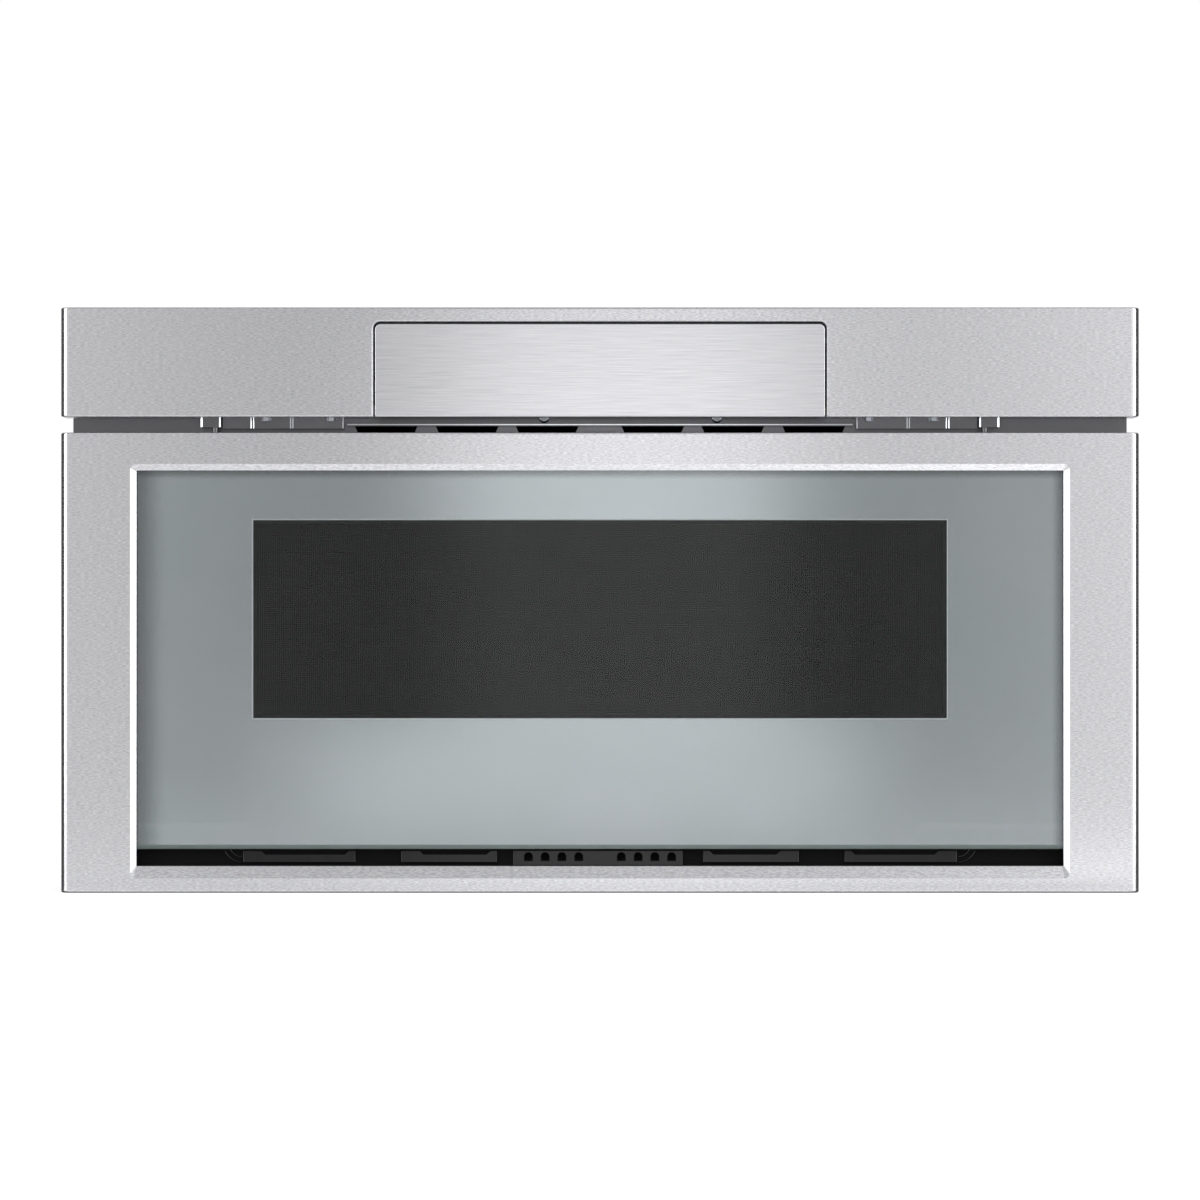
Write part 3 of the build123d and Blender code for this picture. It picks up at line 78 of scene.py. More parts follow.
MM = 0.001
GLASS_LOW, GLASS_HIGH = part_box("door_glass")
SCREEN_LOW, SCREEN_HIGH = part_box("door_screen")
TOUCH_LOW, TOUCH_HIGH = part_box("flap_touch_glass")
BASE_LOW, BASE_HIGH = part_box("base_pan")
DOOR_LOW, DOOR_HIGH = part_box("door_frame")
# The clear window in the glass print, and the opening of the door's frame around the glass.
SIGHT_HALF = 244.4 * MM
SIGHT_BOTTOM = 113.9 * MM
SIGHT_TOP = 253.5 * MM
WINDOW_HALF = 326.3 * MM
WINDOW_TOP = 288.4 * MM
# Underside of the lip's flat leaf in the gap, and front of the panel under the glass.
LIP_Z = 320.9 * MM
SILL_Y = -294.0 * MM
# Thickness of one scratch in the ground steel, in mm.
GRAIN = 0.42
# At this scale a wave texture has about one band in each unit.
BAND_SCALE = 2 / 6.283

# Strengths of the tent's cloth by bearing from the front, in degrees.
TENT_LEVELS = ((-180, 0.7), (-70, 0.7), (-64, 3.2), (-48, 3.2), (-42, 0.8), (-19, 0.71),
               (-12, 0.54), (-6, 0.46), (6, 0.46), (12, 0.57), (19, 0.78), (40, 0.95),
               (48, 3.2), (64, 3.2), (70, 0.7), (180, 0.7))
# Strengths of the two cards in front, by place along X in metres: they fade out at both ends.
CENTRE_LEVELS = ((-0.20, 0.5), (-0.165, 0.62), (-0.115, 1.0), (-0.08, 1.23), (0.11, 1.23),
                 (0.14, 1.05), (0.19, 0.66), (0.225, 0.54))
LOW_LEVELS = ((-0.31, 0.66), (-0.27, 0.76), (-0.22, 1.04), (-0.19, 1.13), (0.17, 1.13),
              (0.20, 1.03), (0.24, 0.76), (0.28, 0.62))
FOOT_LEVELS = ((DOOR_LOW.x, 0.97), (DOOR_HIGH.x, 1.57))
CARDS_MEET = 0.094
CEILING_LEVEL = 0.7
FLOOR_CARD_LEVEL = 0.78
FLAG_LEVEL = 0.08
BRIGHTEST = 4.0
# The share of the floor's glow that mirror-like surfaces see.
MIRRORED_GLOW = 0.35


# ---- what a user may change ----
def paint(code):
    """An sRGB hex colour as linear red, green and blue."""
    levels = [int(code[i:i + 2], 16) / 255 for i in (1, 3, 5)]
    return tuple(v / 12.92 if v <= 0.04045 else ((v + 0.055) / 1.055) ** 2.4 for v in levels)


def colour(title, text, code):
    return FloatVectorProperty(name=title, description=text, default=paint(code), size=3,
                               min=0, max=1, subtype="COLOR")


def length(title, text, metres):
    return FloatProperty(name=title, description=text, default=metres, min=0, precision=5,
                         unit="LENGTH", subtype="DISTANCE")


def amount(title, text, value, unit="NONE"):
    return FloatProperty(name=title, description=text, default=value, min=0, unit=unit)


class DrawerFinishes(PropertyGroup):
    steel: colour("Stainless steel", "Ground face of the door, console and flap", "#ebebee")
    streak: colour("Stainless streak", "Darker streaks in the ground face", "#c9c9cd")
    zinc: colour("Galvanised sheet", "Hot-dip zinc on the housing", "#bfc2c5")
    zinc_shade: colour("Galvanised shade", "Darker zinc crystals", "#a3a7ab")
    enamel: colour("Cavity enamel", "Grey enamel of tub and cavity", "#8b8e90")
    speck: colour("Enamel speck", "Specks in the grey enamel", "#63666a")
    silver: colour("Mirror print", "Mirror print behind the door glass", "#b7bbbf")
    silver_shade: colour("Mirror print shade", "Thinner places in the mirror print", "#b2b6ba")
    # The print edge colour is a painted highlight: the pale line that light makes on the print's
    # edge.
    edge_highlight: colour("Print edge", "Bare edge of the mirror print", "#c6cbcc")
    glass_foot: colour("Glass foot", "Darker band along the foot of the glass", "#7c8685")
    screen: colour("Window screen", "Blackened punched steel", "#252526")
    # The passivated grey is darkened as painted shade for the gap over the door.
    passivated: colour("Passivated steel", "Grey sheet behind the gap", "#78787b")
    smoked: colour("Smoked glass", "Inner pane of the window", "#4a4b4b")
    moulding: colour("Black moulding", "Black moulded plastic", "#0c0c0d")
    touch: colour("Touch panel", "Back-printed touch glass", "#07080a")
    legend: colour("Legend", "Printed marks on the touch panel", "#d8dcdf")
    choke: colour("Choke cover", "Grey moulded cover of the choke channel", "#5b5f63")
    zinc_plate: colour("Zinc plate", "Bright zinc on slides, arms and screws", "#c9cdd2")
    gear: colour("Gear steel", "Hobbed steel of rack and pinion", "#9c9fa3")
    nylon: colour("Nylon", "Natural nylon gears and bushes", "#dcd8cc")
    brass: colour("Brass cages", "Rolled brass ball cages", "#c2a462")
    motor: colour("Motor can", "Painted motor cans", "#7d8083")
    lamination: colour("Laminations", "Stamped silicon steel sheets", "#77797b")
    copper: colour("Copper winding", "Enamelled copper wire", "#b0603a")
    aluminium: colour("Aluminium", "Rolled aluminium sheet", "#d5d7d9")
    mica: colour("Mica", "Pressed mica sheet", "#a9987a")
    board: colour("Power board", "Solder mask of the power board", "#1f4a34")
    fan: colour("Fan blades", "Grey moulded fan", "#85888a")
    tray: colour("Tray", "White glass ceramic tray", "#dfe1e0")


class DrawerDetails(PropertyGroup):
    screen_pitch: length("Screen pitch", "Distance from hole to hole in the screen", 1.5 * MM)
    screen_bar: length("Screen bar", "Width of metal between two holes", 0.6 * MM)
    screen_rim: length("Screen rim", "Unpunched rim that shows in the window", 2.6 * MM)
    print_gap: length("Print gap", "Gap between glass and print", 0.05 * MM)
    print_thickness: length("Print thickness", "Thickness of the mirror print", 0.15 * MM)
    # The pale line round the window is a painted highlight.
    edge_highlight: length("Print edge", "Width of the pale line round the window", 0.8 * MM)
    glass_foot: length("Glass foot", "Height of the darker band at the foot of the glass", 3.0 * MM)
    gap_edge: length("Gap edge", "Width of the bright edges in the gap", 0.9 * MM)
    legend_size: length("Legend height", "Height of the marks on the touch panel", 5.5 * MM)


class DrawerStudio(PropertyGroup):
    camera_distance: length("Camera distance", "From the front face to the camera", 4.5)
    camera_height: length("Camera height", "Height of the lens over the base pan", 197.2 * MM)
    view_width: length("View width", "Width of the picture at the front face", 843.9 * MM)
    ambient: amount("Ambient", "World strength on diffuse surfaces", 0.62)
    floor_glow: amount("Floor glow", "Strength that keeps the pale floor white", 0.55)
    tent_radius: length("Tent radius", "From the middle of the drawer to the tent's wall", 1.5)
    tent_height: length("Tent height", "Height of the tent's ceiling", 1.6)
    key: amount("Key", "Power of the key softbox", 60, "POWER")
    fill: amount("Fill", "Power of the fill softbox", 28, "POWER")


# ---- node helpers ----
def add(tree, kind, values=None, links=None, **settings):
    """Adds one node: settings are its own, values and links go to its sockets."""
    made = tree.nodes.new(kind)
    for name, value in settings.items():
        setattr(made, name, value)
    for socket, value in (values or {}).items():
        made.inputs[socket].default_value = value
    for socket, source in (links or {}).items():
        tree.links.new(source, made.inputs[socket])
    return made


def start(name, base, sockets):
    """A new material with its tree and its Principled shader."""
    material = bpy.data.materials.new(name)
    material.use_nodes = True
    shader = material.node_tree.nodes["Principled BSDF"]
    shader.inputs["Base Color"].default_value = (*base, 1)
    for socket, value in sockets.items():
        shader.inputs[socket].default_value = value
    return material, material.node_tree, shader


def steps(tree, across, along=None, up=None):
    """Object coordinates that count one for so many mm along X, Y and Z; one number serves all."""
    place = add(tree, "ShaderNodeTexCoord").outputs["Object"]
    scale = [1000 / (step or across) for step in (across, along, up)]
    return add(tree, "ShaderNodeMapping", {"Scale": scale}, {"Vector": place}).outputs["Vector"]


def places(tree):
    """Outputs X, Y and Z of a point of the surface, in metres."""
    place = add(tree, "ShaderNodeTexCoord").outputs["Object"]
    return add(tree, "ShaderNodeSeparateXYZ", None, {"Vector": place}).outputs


def lay(tree, shader, pattern, low, high, rough=None, relief=0):
    """Lets one pattern drive a finish: its colour, its roughness, and its relief in metres."""
    tone = add(tree, "ShaderNodeMix", {6: (*low, 1), 7: (*high, 1)}, {0: pattern}, data_type="RGBA")
    tree.links.new(tone.outputs[2], shader.inputs["Base Color"])
    if rough:
        spread = add(tree, "ShaderNodeMapRange", {"To Min": rough[0], "To Max": rough[1]},
                     {"Value": pattern})
        tree.links.new(spread.outputs["Result"], shader.inputs["Roughness"])
    if relief:
        bump = add(tree, "ShaderNodeBump", {"Distance": relief}, {"Height": pattern})
        tree.links.new(bump.outputs["Normal"], shader.inputs["Normal"])


# ---- finishes ----
def ground_steel(name, c, streak, scratch, contrast):
    """Ground 304 stainless sheet; a scratch is so many mm long, and contrast is 0 to 1.

    Real scratches are under 0.1 mm thick; they are drawn GRAIN mm thick so that they show.
    """
    material, tree, shader = start(name, c.steel, {
        "Metallic": 1.0, "Roughness": 0.25, "Anisotropic": 0.65})
    streaks = add(tree, "ShaderNodeTexNoise", {"Scale": 1.0, "Detail": 2.0, "Roughness": 0.6},
                  {"Vector": steps(tree, scratch, scratch, GRAIN)})
    spread = 0.5 - 0.4 * contrast
    clear = add(tree, "ShaderNodeMapRange", {"From Min": 0.5 - spread, "From Max": 0.5 + spread},
                {"Value": streaks.outputs["Fac"]})
    lay(tree, shader, clear.outputs["Result"], streak, c.steel, relief=0.003 * MM)
    # The tangent runs up and down, so that highlights spread across the scratches.
    across = add(tree, "ShaderNodeCombineXYZ", {"X": 0.02, "Y": 0.03, "Z": 1.0})
    tree.links.new(across.outputs["Vector"], shader.inputs["Tangent"])
    return material


def brushed_stainless(c):
    # 304 stainless sheet, flap-wheel ground along its width: short crossing scratches that
    # spread highlights up and down.
    return ground_steel("brushed_stainless_steel", c, c.streak, 2.9, 0.85)


def long_grain_stainless(c):
    # The flap's sheet is belt-ground: the same steel with long, straight, fainter lines.
    return ground_steel("long_grain_stainless_steel", c, paint("#d2d2d6"), 34, 0.6)


def galvanised_sheet(c):
    # Hot-dip galvanised steel: zinc freezes in crystals 6 to 10 mm wide, each a little
    # lighter or darker and duller than the next.
    material, tree, shader = start("galvanised_steel_sheet", c.zinc, {
        "Metallic": 1.0, "Roughness": 0.42})
    crystals = add(tree, "ShaderNodeTexVoronoi", {"Scale": 1.0},
                   {"Vector": steps(tree, 8)})
    shade = add(tree, "ShaderNodeRGBToBW", None, {"Color": crystals.outputs["Color"]})
    lay(tree, shader, shade.outputs["Val"], c.zinc_shade, c.zinc, (0.36, 0.5))
    return material


def passivated_sheet_with_gap_shade(c):
    # Steel sheet with a grey passivated zinc coat: satin, a little cloudy. Its grey is drawn darker
    # than the coat alone, as painted shade for the deep gap over the door where this sheet sits.
    material, tree, shader = start("passivated_steel_painted_gap_shade", c.passivated, {
        "Metallic": 1.0, "Roughness": 0.3})
    cloud = add(tree, "ShaderNodeTexNoise", {"Scale": 1.0, "Detail": 3.0},
                {"Vector": steps(tree, 22, 22, 6)})
    lay(tree, shader, cloud.outputs["Fac"], paint("#6f6f72"), c.passivated, (0.2, 0.3))
    return material


def cavity_enamel(c):
    # Vitreous enamel fired on steel: glassy, faintly rippled, with dark specks under 1 mm.
    material, tree, shader = start("grey_vitreous_enamel", c.enamel, {
        "Roughness": 0.22, "IOR": 1.5})
    grains = add(tree, "ShaderNodeTexVoronoi", {"Scale": 1.0, "Randomness": 1.0},
                 {"Vector": steps(tree, 2.6)})
    specks = add(tree, "ShaderNodeMapRange", {"From Min": 0.12, "From Max": 0.24},
                 {"Value": grains.outputs["Distance"]})
    lay(tree, shader, specks.outputs["Result"], c.speck, c.enamel)
    ripple = add(tree, "ShaderNodeTexNoise", {"Scale": 1.0}, {"Vector": steps(tree, 14)})
    bump = add(tree, "ShaderNodeBump", {"Distance": 0.05 * MM}, {"Height": ripple.outputs["Fac"]})
    tree.links.new(bump.outputs["Normal"], shader.inputs["Normal"])
    return material


def float_glass(c):
    # Toughened low-iron float glass with an anti-reflection coat: clear, hardly any mirror
    # image, and a trace of green that comes and goes over the width of a pane.
    material, tree, shader = start("coated_float_glass", paint("#fafcfb"), {
        "Transmission Weight": 1.0, "IOR": 1.22, "Roughness": 0.0})
    trace = add(tree, "ShaderNodeTexNoise", {"Scale": 1.0}, {"Vector": steps(tree, 90)})
    lay(tree, shader, trace.outputs["Fac"], paint("#f6faf8"), paint("#fcfdfd"))
    return material


def smoked_glass(c):
    # Smoked float glass of the inner pane: it hides the dark cavity behind the screen.
    material, tree, shader = start("smoked_float_glass", c.smoked, {
        "Transmission Weight": 1.0, "IOR": 1.3, "Roughness": 0.02})
    trace = add(tree, "ShaderNodeTexNoise", {"Scale": 1.0}, {"Vector": steps(tree, 70)})
    lay(tree, shader, trace.outputs["Fac"], paint("#444545"), c.smoked)
    return material


def mirror_print(c):
    # Chrome-grey mirror print fired on the back of the glass: a cloudy mirror, darkened towards
    # its border by a painted shadow of the door's frame, wider on the left than on the right.
    material, tree, shader = start("mirror_print", c.silver, {
        "Metallic": 0.9, "Roughness": 0.14})
    cloud = add(tree, "ShaderNodeTexNoise", {"Scale": 1.0, "Detail": 2.0},
                {"Vector": steps(tree, 60)})
    lay(tree, shader, cloud.outputs["Fac"], c.silver_shade, c.silver)
    tone = tree.nodes["Mix"]
    place = places(tree)
    clear = None
    # How far the painted shadow of the frame reaches in from the left, from the right and from the
    # top.
    for axis, edge, width in (("X", -WINDOW_HALF, 22 * MM), ("X", WINDOW_HALF, -9 * MM),
                              ("Z", WINDOW_TOP, -7 * MM)):
        part = add(tree, "ShaderNodeMapRange", {
            "From Min": edge, "From Max": edge + width, "To Min": 0.5, "To Max": 1.0},
            {"Value": place[axis]}, interpolation_type="SMOOTHSTEP")
        if clear:
            clear = add(tree, "ShaderNodeMath", None, {0: clear, 1: part.outputs["Result"]},
                        operation="MULTIPLY").outputs[0]
        else:
            clear = part.outputs["Result"]
    # Painted shadow of the frame: the print's colour falls to half at its border.
    painted_frame_shadow = add(tree, "ShaderNodeMix", {6: (0, 0, 0, 1)}, {0: clear, 7: tone.outputs[2]},
                 data_type="RGBA")
    tree.links.new(painted_frame_shadow.outputs[2], shader.inputs["Base Color"])
    return material


def painted_edge_highlight(c):
    # A paler, duller strip round the window: a painted highlight for the light that the print's edge
    # catches.
    material, tree, shader = start("mirror_print_painted_highlight", c.edge_highlight, {
        "Metallic": 0.7, "Roughness": 0.4})
    cloud = add(tree, "ShaderNodeTexNoise", {"Scale": 1.0}, {"Vector": steps(tree, 9)})
    lay(tree, shader, cloud.outputs["Fac"], c.silver, c.edge_highlight)
    return material


def glass_foot(c):
    # The print stops above the glass's foot, and the ground edge there reads darker.
    material, tree, shader = start("ground_glass_edge", c.glass_foot, {
        "Metallic": 0.8, "Roughness": 0.35})
    cloud = add(tree, "ShaderNodeTexNoise", {"Scale": 1.0}, {"Vector": steps(tree, 12)})
    lay(tree, shader, cloud.outputs["Fac"], paint("#727c7b"), c.glass_foot)
    return material


def blackened_screen(c):
    # Punched steel sheet, black oxide finish: dull black with a grey sheen on the webs.
    material, tree, shader = start("black_oxide_screen", c.screen, {
        "Metallic": 0.2, "Roughness": 0.5, "Specular IOR Level": 0.34})
    patch = add(tree, "ShaderNodeTexNoise", {"Scale": 1.0}, {"Vector": steps(tree, 4)})
    lay(tree, shader, patch.outputs["Fac"], paint("#1e1e1f"), c.screen)
    return material


def moulded(name, base, shade, rough=(0.38, 0.5), grain=0.7):
    """Injection-moulded plastic with the fine grain of a spark-eroded mould."""
    material, tree, shader = start(name, base, {"Roughness": rough[0], "IOR": 1.46})
    texture = add(tree, "ShaderNodeTexNoise", {"Scale": 1.0, "Detail": 2.0},
                  {"Vector": steps(tree, grain)})
    lay(tree, shader, texture.outputs["Fac"], shade, base, rough, relief=0.012 * MM)
    return material


def black_moulding(c):
    # Black PBT from a coarse-grained mould: hardly any gloss.
    material = moulded("black_moulded_pbt", c.moulding, paint("#070708"), (0.7, 0.85))
    shader = material.node_tree.nodes["Principled BSDF"]
    shader.inputs["Specular IOR Level"].default_value = 0.15
    return material


def polished_moulding(c):
    # Black ABS from a polished mould: glossy, with shallow flow marks.
    return moulded("black_polished_abs", c.moulding, paint("#0c0c0d"), (0.16, 0.26), 9)


def choke_moulding(c):
    # Grey polypropylene, which microwaves pass through: waxy, medium gloss.
    return moulded("grey_moulded_polypropylene", c.choke, paint("#53575b"), (0.34, 0.42), 1.2)


def fan_moulding(c):
    # Grey glass-filled nylon of the fan: dull, with visible fibre flecks.
    return moulded("grey_glass_filled_nylon", c.fan, paint("#75787a"), (0.5, 0.62), 1.6)


def natural_nylon(c):
    # Cut and moulded natural nylon: milky, a little light passes into its edges.
    material = moulded("natural_nylon", c.nylon, paint("#cfcabc"), (0.34, 0.44), 1.0)
    shader = material.node_tree.nodes["Principled BSDF"]
    shader.inputs["Subsurface Weight"].default_value = 0.15
    shader.inputs["Subsurface Scale"].default_value = 1.5 * MM
    return material


def hole_shade_sheet(c):
    # A matt black sheet behind the air holes: painted shade that keeps the holes black, drawn like
    # felt with fibres under a millimetre.
    material, tree, shader = start("black_sheet_painted_hole_shade", c.moulding, {
        "Roughness": 0.95, "Specular IOR Level": 0.05, "Sheen Weight": 0.1})
    backing_grain = add(tree, "ShaderNodeTexNoise", {"Scale": 1.0, "Detail": 4.0},
                 {"Vector": steps(tree, 0.8)})
    lay(tree, shader, backing_grain.outputs["Fac"], paint("#060606"), paint("#0d0d0d"), (0.9, 1.0),
        0.1 * MM)
    return material


def touch_panel(c):
    # Chemically toughened glass printed black on its back: deep gloss black with fine dust.
    material, tree, shader = start("black_printed_glass", c.touch, {
        "Roughness": 0.06, "IOR": 1.52})
    dust = add(tree, "ShaderNodeTexNoise", {"Scale": 1.0, "Detail": 4.0},
               {"Vector": steps(tree, 30)})
    lay(tree, shader, dust.outputs["Fac"], c.touch, paint("#0b0c0e"), (0.04, 0.12))
    return material


def legend_ink(c):
    # White screen-printing ink: matt, slightly uneven.
    material, tree, shader = start("white_printing_ink", c.legend, {"Roughness": 0.6})
    screenings = add(tree, "ShaderNodeTexNoise", {"Scale": 1.0}, {"Vector": steps(tree, 1)})
    lay(tree, shader, screenings.outputs["Fac"], paint("#c6cacd"), c.legend)
    return material


def plated_steel(name, base, shade, rough=(0.24, 0.38)):
    """Bright-plated steel with drawing marks along its length."""
    material, tree, shader = start(name, base, {"Metallic": 1.0, "Roughness": rough[0]})
    marks = add(tree, "ShaderNodeTexNoise", {"Scale": 1.0, "Detail": 3.0},
                {"Vector": steps(tree, 2, 24, 2)})
    lay(tree, shader, marks.outputs["Fac"], shade, base, rough)
    return material


def zinc_plate(c):
    # Clear-passivated zinc plate on rolled slides and screws: bright, faintly blue.
    return plated_steel("zinc_plated_steel", c.zinc_plate, paint("#aeb4bc"))


def polished_edge(c):
    # Sheared edges of bright zinc-plated sheet, burnished by the shear: nearly a mirror.
    material, tree, shader = start("burnished_edge", paint("#f4f5f6"), {
        "Metallic": 1.0, "Roughness": 0.12})
    marks = add(tree, "ShaderNodeTexNoise", {"Scale": 1.0}, {"Vector": steps(tree, 3)})
    lay(tree, shader, marks.outputs["Fac"], paint("#dfe1e3"), c.zinc_plate, (0.06, 0.16))
    return material


def gear_steel(c):
    # Hobbed and oiled medium-carbon steel: darker grey with cutter marks.
    return plated_steel("hobbed_steel", c.gear, paint("#808387"), (0.3, 0.46))


def rolled_brass(c):
    # Half-hard brass strip: warm yellow, dulled in patches.
    return plated_steel("rolled_brass", c.brass, paint("#a8874a"), (0.28, 0.42))


def motor_can(c):
    # Drawn steel cans with baked grey enamel paint: satin, with faint orange peel.
    material, tree, shader = start("grey_stoved_paint", c.motor, {"Roughness": 0.38})
    peel = add(tree, "ShaderNodeTexNoise", {"Scale": 1.0}, {"Vector": steps(tree, 2.2)})
    lay(tree, shader, peel.outputs["Fac"], paint("#707376"), c.motor, (0.34, 0.42), 0.03 * MM)
    return material


def stacked_laminations(c):
    # Silicon steel sheets 0.5 mm thick, stacked and varnished: fine lines with dark joints.
    # The joints are drawn 3 mm apart so that they show.
    material, tree, shader = start("stacked_laminations", c.lamination, {
        "Metallic": 0.8, "Roughness": 0.45})
    sheets = add(tree, "ShaderNodeTexWave", {"Scale": BAND_SCALE, "Distortion": 0.4},
                 {"Vector": steps(tree, 3)}, wave_type="BANDS", bands_direction="X")
    lay(tree, shader, sheets.outputs["Fac"], paint("#4b4d4f"), c.lamination, (0.55, 0.4), 0.1 * MM)
    return material


def copper_winding(c):
    # Enamelled copper wire 1.2 mm thick, wound in close turns and varnished: glossy
    # amber-brown. The turns are drawn 2.4 mm apart so that they show.
    material, tree, shader = start("enamelled_copper_wire", c.copper, {
        "Metallic": 0.9, "Roughness": 0.3})
    turns = add(tree, "ShaderNodeTexWave", {"Scale": BAND_SCALE, "Distortion": 0.6},
                {"Vector": steps(tree, 2.4)}, wave_type="BANDS", bands_direction="Y")
    lay(tree, shader, turns.outputs["Fac"], paint("#6e3219"), c.copper, (0.42, 0.26), 0.3 * MM)
    return material


def rolled_aluminium(c):
    # Mill-finish aluminium: pale, with rolling lines along X.
    material, tree, shader = start("mill_finish_aluminium", c.aluminium, {
        "Metallic": 1.0, "Roughness": 0.32})
    lines = add(tree, "ShaderNodeTexNoise", {"Scale": 1.0, "Detail": 3.0},
                {"Vector": steps(tree, 30, 1.2, 1.2)})
    lay(tree, shader, lines.outputs["Fac"], paint("#c2c5c8"), c.aluminium, (0.26, 0.4))
    return material


def pressed_mica(c):
    # Mica flakes pressed into sheet: golden brown, pearly flakes 3 to 6 mm wide.
    material, tree, shader = start("pressed_mica", c.mica, {"Roughness": 0.4})
    flakes = add(tree, "ShaderNodeTexVoronoi", {"Scale": 1.0}, {"Vector": steps(tree, 5)})
    shade = add(tree, "ShaderNodeRGBToBW", None, {"Color": flakes.outputs["Color"]})
    lay(tree, shader, shade.outputs["Val"], paint("#8d7b5d"), c.mica, (0.25, 0.5))
    return material


def circuit_board(c):
    # Glass epoxy board under green solder mask, with the darker lines of its tracks.
    material, tree, shader = start("green_solder_mask", c.board, {"Roughness": 0.3})
    tracks = add(tree, "ShaderNodeTexBrick", {
        "Scale": 1.0, "Mortar Size": 0.08, "Brick Width": 0.9, "Row Height": 0.35,
        "Color1": (1, 1, 1, 1), "Color2": (0.8, 0.8, 0.8, 1), "Mortar": (0, 0, 0, 1)},
        {"Vector": steps(tree, 9)})
    shade = add(tree, "ShaderNodeRGBToBW", None, {"Color": tracks.outputs["Color"]})
    lay(tree, shader, shade.outputs["Val"], paint("#2f6b4b"), c.board, (0.24, 0.34))
    return material


def tray_ceramic(c):
    # White glass ceramic: smooth, glossy, with faint grey clouding.
    material, tree, shader = start("white_glass_ceramic", c.tray, {
        "Roughness": 0.12, "IOR": 1.54})
    cloud = add(tree, "ShaderNodeTexNoise", {"Scale": 1.0, "Detail": 3.0},
                {"Vector": steps(tree, 25)})
    lay(tree, shader, cloud.outputs["Fac"], paint("#cfd2d1"), c.tray, (0.1, 0.2))
    return material


FINISH_OF = {
    "stainless_brushed": brushed_stainless,
    "galvanised_steel": galvanised_sheet,
    "passivated_steel": passivated_sheet_with_gap_shade,
    "grey_enamel": cavity_enamel,
    "tinted_glass": float_glass,
    "clear_glass": smoked_glass,
    "screen_black": blackened_screen,
    "black_moulding": black_moulding,
    "black_gloss": polished_moulding,
    "choke_grey": choke_moulding,
    "touch_black": touch_panel,
    "zinc_steel": zinc_plate,
    "cage_brass": rolled_brass,
    "white_nylon": natural_nylon,
    "gear_steel": gear_steel,
    "motor_grey": motor_can,
    "lamination_steel": stacked_laminations,
    "copper_winding": copper_winding,
    "aluminium_sheet": rolled_aluminium,
    "mica_sheet": pressed_mica,
    "board_green": circuit_board,
    "fan_grey": fan_moulding,
    "tray_ceramic": tray_ceramic,
}


def dress(slots):
    """Gives every CAD node of these material slots its finish."""
    finishes = bpy.context.scene.drawer_finishes
    made = {}
    for row in frame["record"]["subparts"]:
        slot = row["material_slot"]
        if slot not in slots:
            continue
        maker = FINISH_OF[slot]
        if maker not in made:
            made[maker] = maker(finishes)
        mesh = NODES[row["node"]].data
        mesh.materials.clear()
        mesh.materials.append(made[maker])
    if not made:
        raise RuntimeError(f"no node has a slot among {slots}")
    return {"FINISHED"}


# ---- piece helpers ----
def linked(name, bm, material):
    """Turns a finished bmesh into an object of the scene."""
    mesh = bpy.data.meshes.new(name)
    bm.to_mesh(mesh)
    bm.free()
    mesh.materials.append(material)
    made = bpy.data.objects.new(name, mesh)
    bpy.context.scene.collection.objects.link(made)
    return made


def piece(name, bm, material, body):
    """A new piece that rides on a body."""
    bmesh.ops.recalc_face_normals(bm, faces=bm.faces)
    made = linked(name, bm, material)
    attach(made, body)
    return made


def verts_in(geom):
    """The vertices among what a bmesh operator gives back."""
    return [item for item in geom if isinstance(item, bmesh.types.BMVert)]


def bar(bm, low, high):
    """Adds a box between two corners."""
    size = high - low
    place = Matrix.Translation((low + high) / 2) @ Matrix.Diagonal((*size, 1))
    return bmesh.ops.create_cube(bm, size=1, matrix=place)["verts"]


def soften(bm, verts, radius):
    """Rounds every edge that these vertices hold."""
    bmesh.ops.bevel(bm, geom=list({e for v in verts for e in v.link_edges}), offset=radius,
                    offset_type="OFFSET", segments=2, profile=0.5, affect="EDGES", material=-1)


def dome(bm, radius, height, centre):
    """Adds a screw head that faces the front and stands on the wall behind it."""
    turn = Matrix.Rotation(radians(90), 4, "X")
    place = Matrix.Translation(centre - Vector((0, height / 2, 0))) @ turn
    made = bmesh.ops.create_cone(bm, cap_ends=True, segments=24, radius1=radius, radius2=radius,
                                 depth=height, matrix=place)["verts"]
    front = min({f for v in made for f in v.link_faces}, key=lambda f: f.calc_center_median().y)
    bmesh.ops.bevel(bm, geom=list(front.edges), offset=0.6 * height, offset_type="OFFSET",
                    segments=3, profile=0.5, affect="EDGES", material=-1)


def upright_ring(bm, outer, inner, y0, y1):
    """Adds a flat frame facing the front; outer and inner are (x0, x1, z0, z1)."""
    hole = [(inner[0], inner[2]), (inner[1], inner[2]), (inner[1], inner[3]), (inner[0], inner[3])]
    rim = [(outer[0], outer[2]), (outer[1], outer[2]), (outer[1], outer[3]), (outer[0], outer[3])]
    first = [bm.verts.new((x, y0, z)) for x, z in hole]
    loop = [bm.edges.new((first[i], first[(i + 1) % 4])) for i in range(4)]
    grown = bmesh.ops.extrude_edge_only(bm, edges=loop)["geom"]
    for vert in verts_in(grown):
        corner = min(range(4), key=lambda i: (vert.co - first[i].co).length)
        vert.co.x, vert.co.z = rim[corner]
    faces = [f for f in grown if isinstance(f, bmesh.types.BMFace)]
    raised = bmesh.ops.extrude_face_region(bm, geom=faces)["geom"]
    bmesh.ops.translate(bm, verts=verts_in(raised), vec=(0, y1 - y0, 0))


# ---- operators: finishes of the CAD nodes ----
class DressFront(Operator):
    """Brushed stainless steel for the door, the console and the flap"""
    bl_idname = "microwave_drawer.dress_front"
    bl_label = "Stainless front"

    def execute(self, context):
        dress(("stainless_brushed",))
        flap = NODES["flap_skin"].data
        flap.materials[0] = long_grain_stainless(context.scene.drawer_finishes)
        return {"FINISHED"}


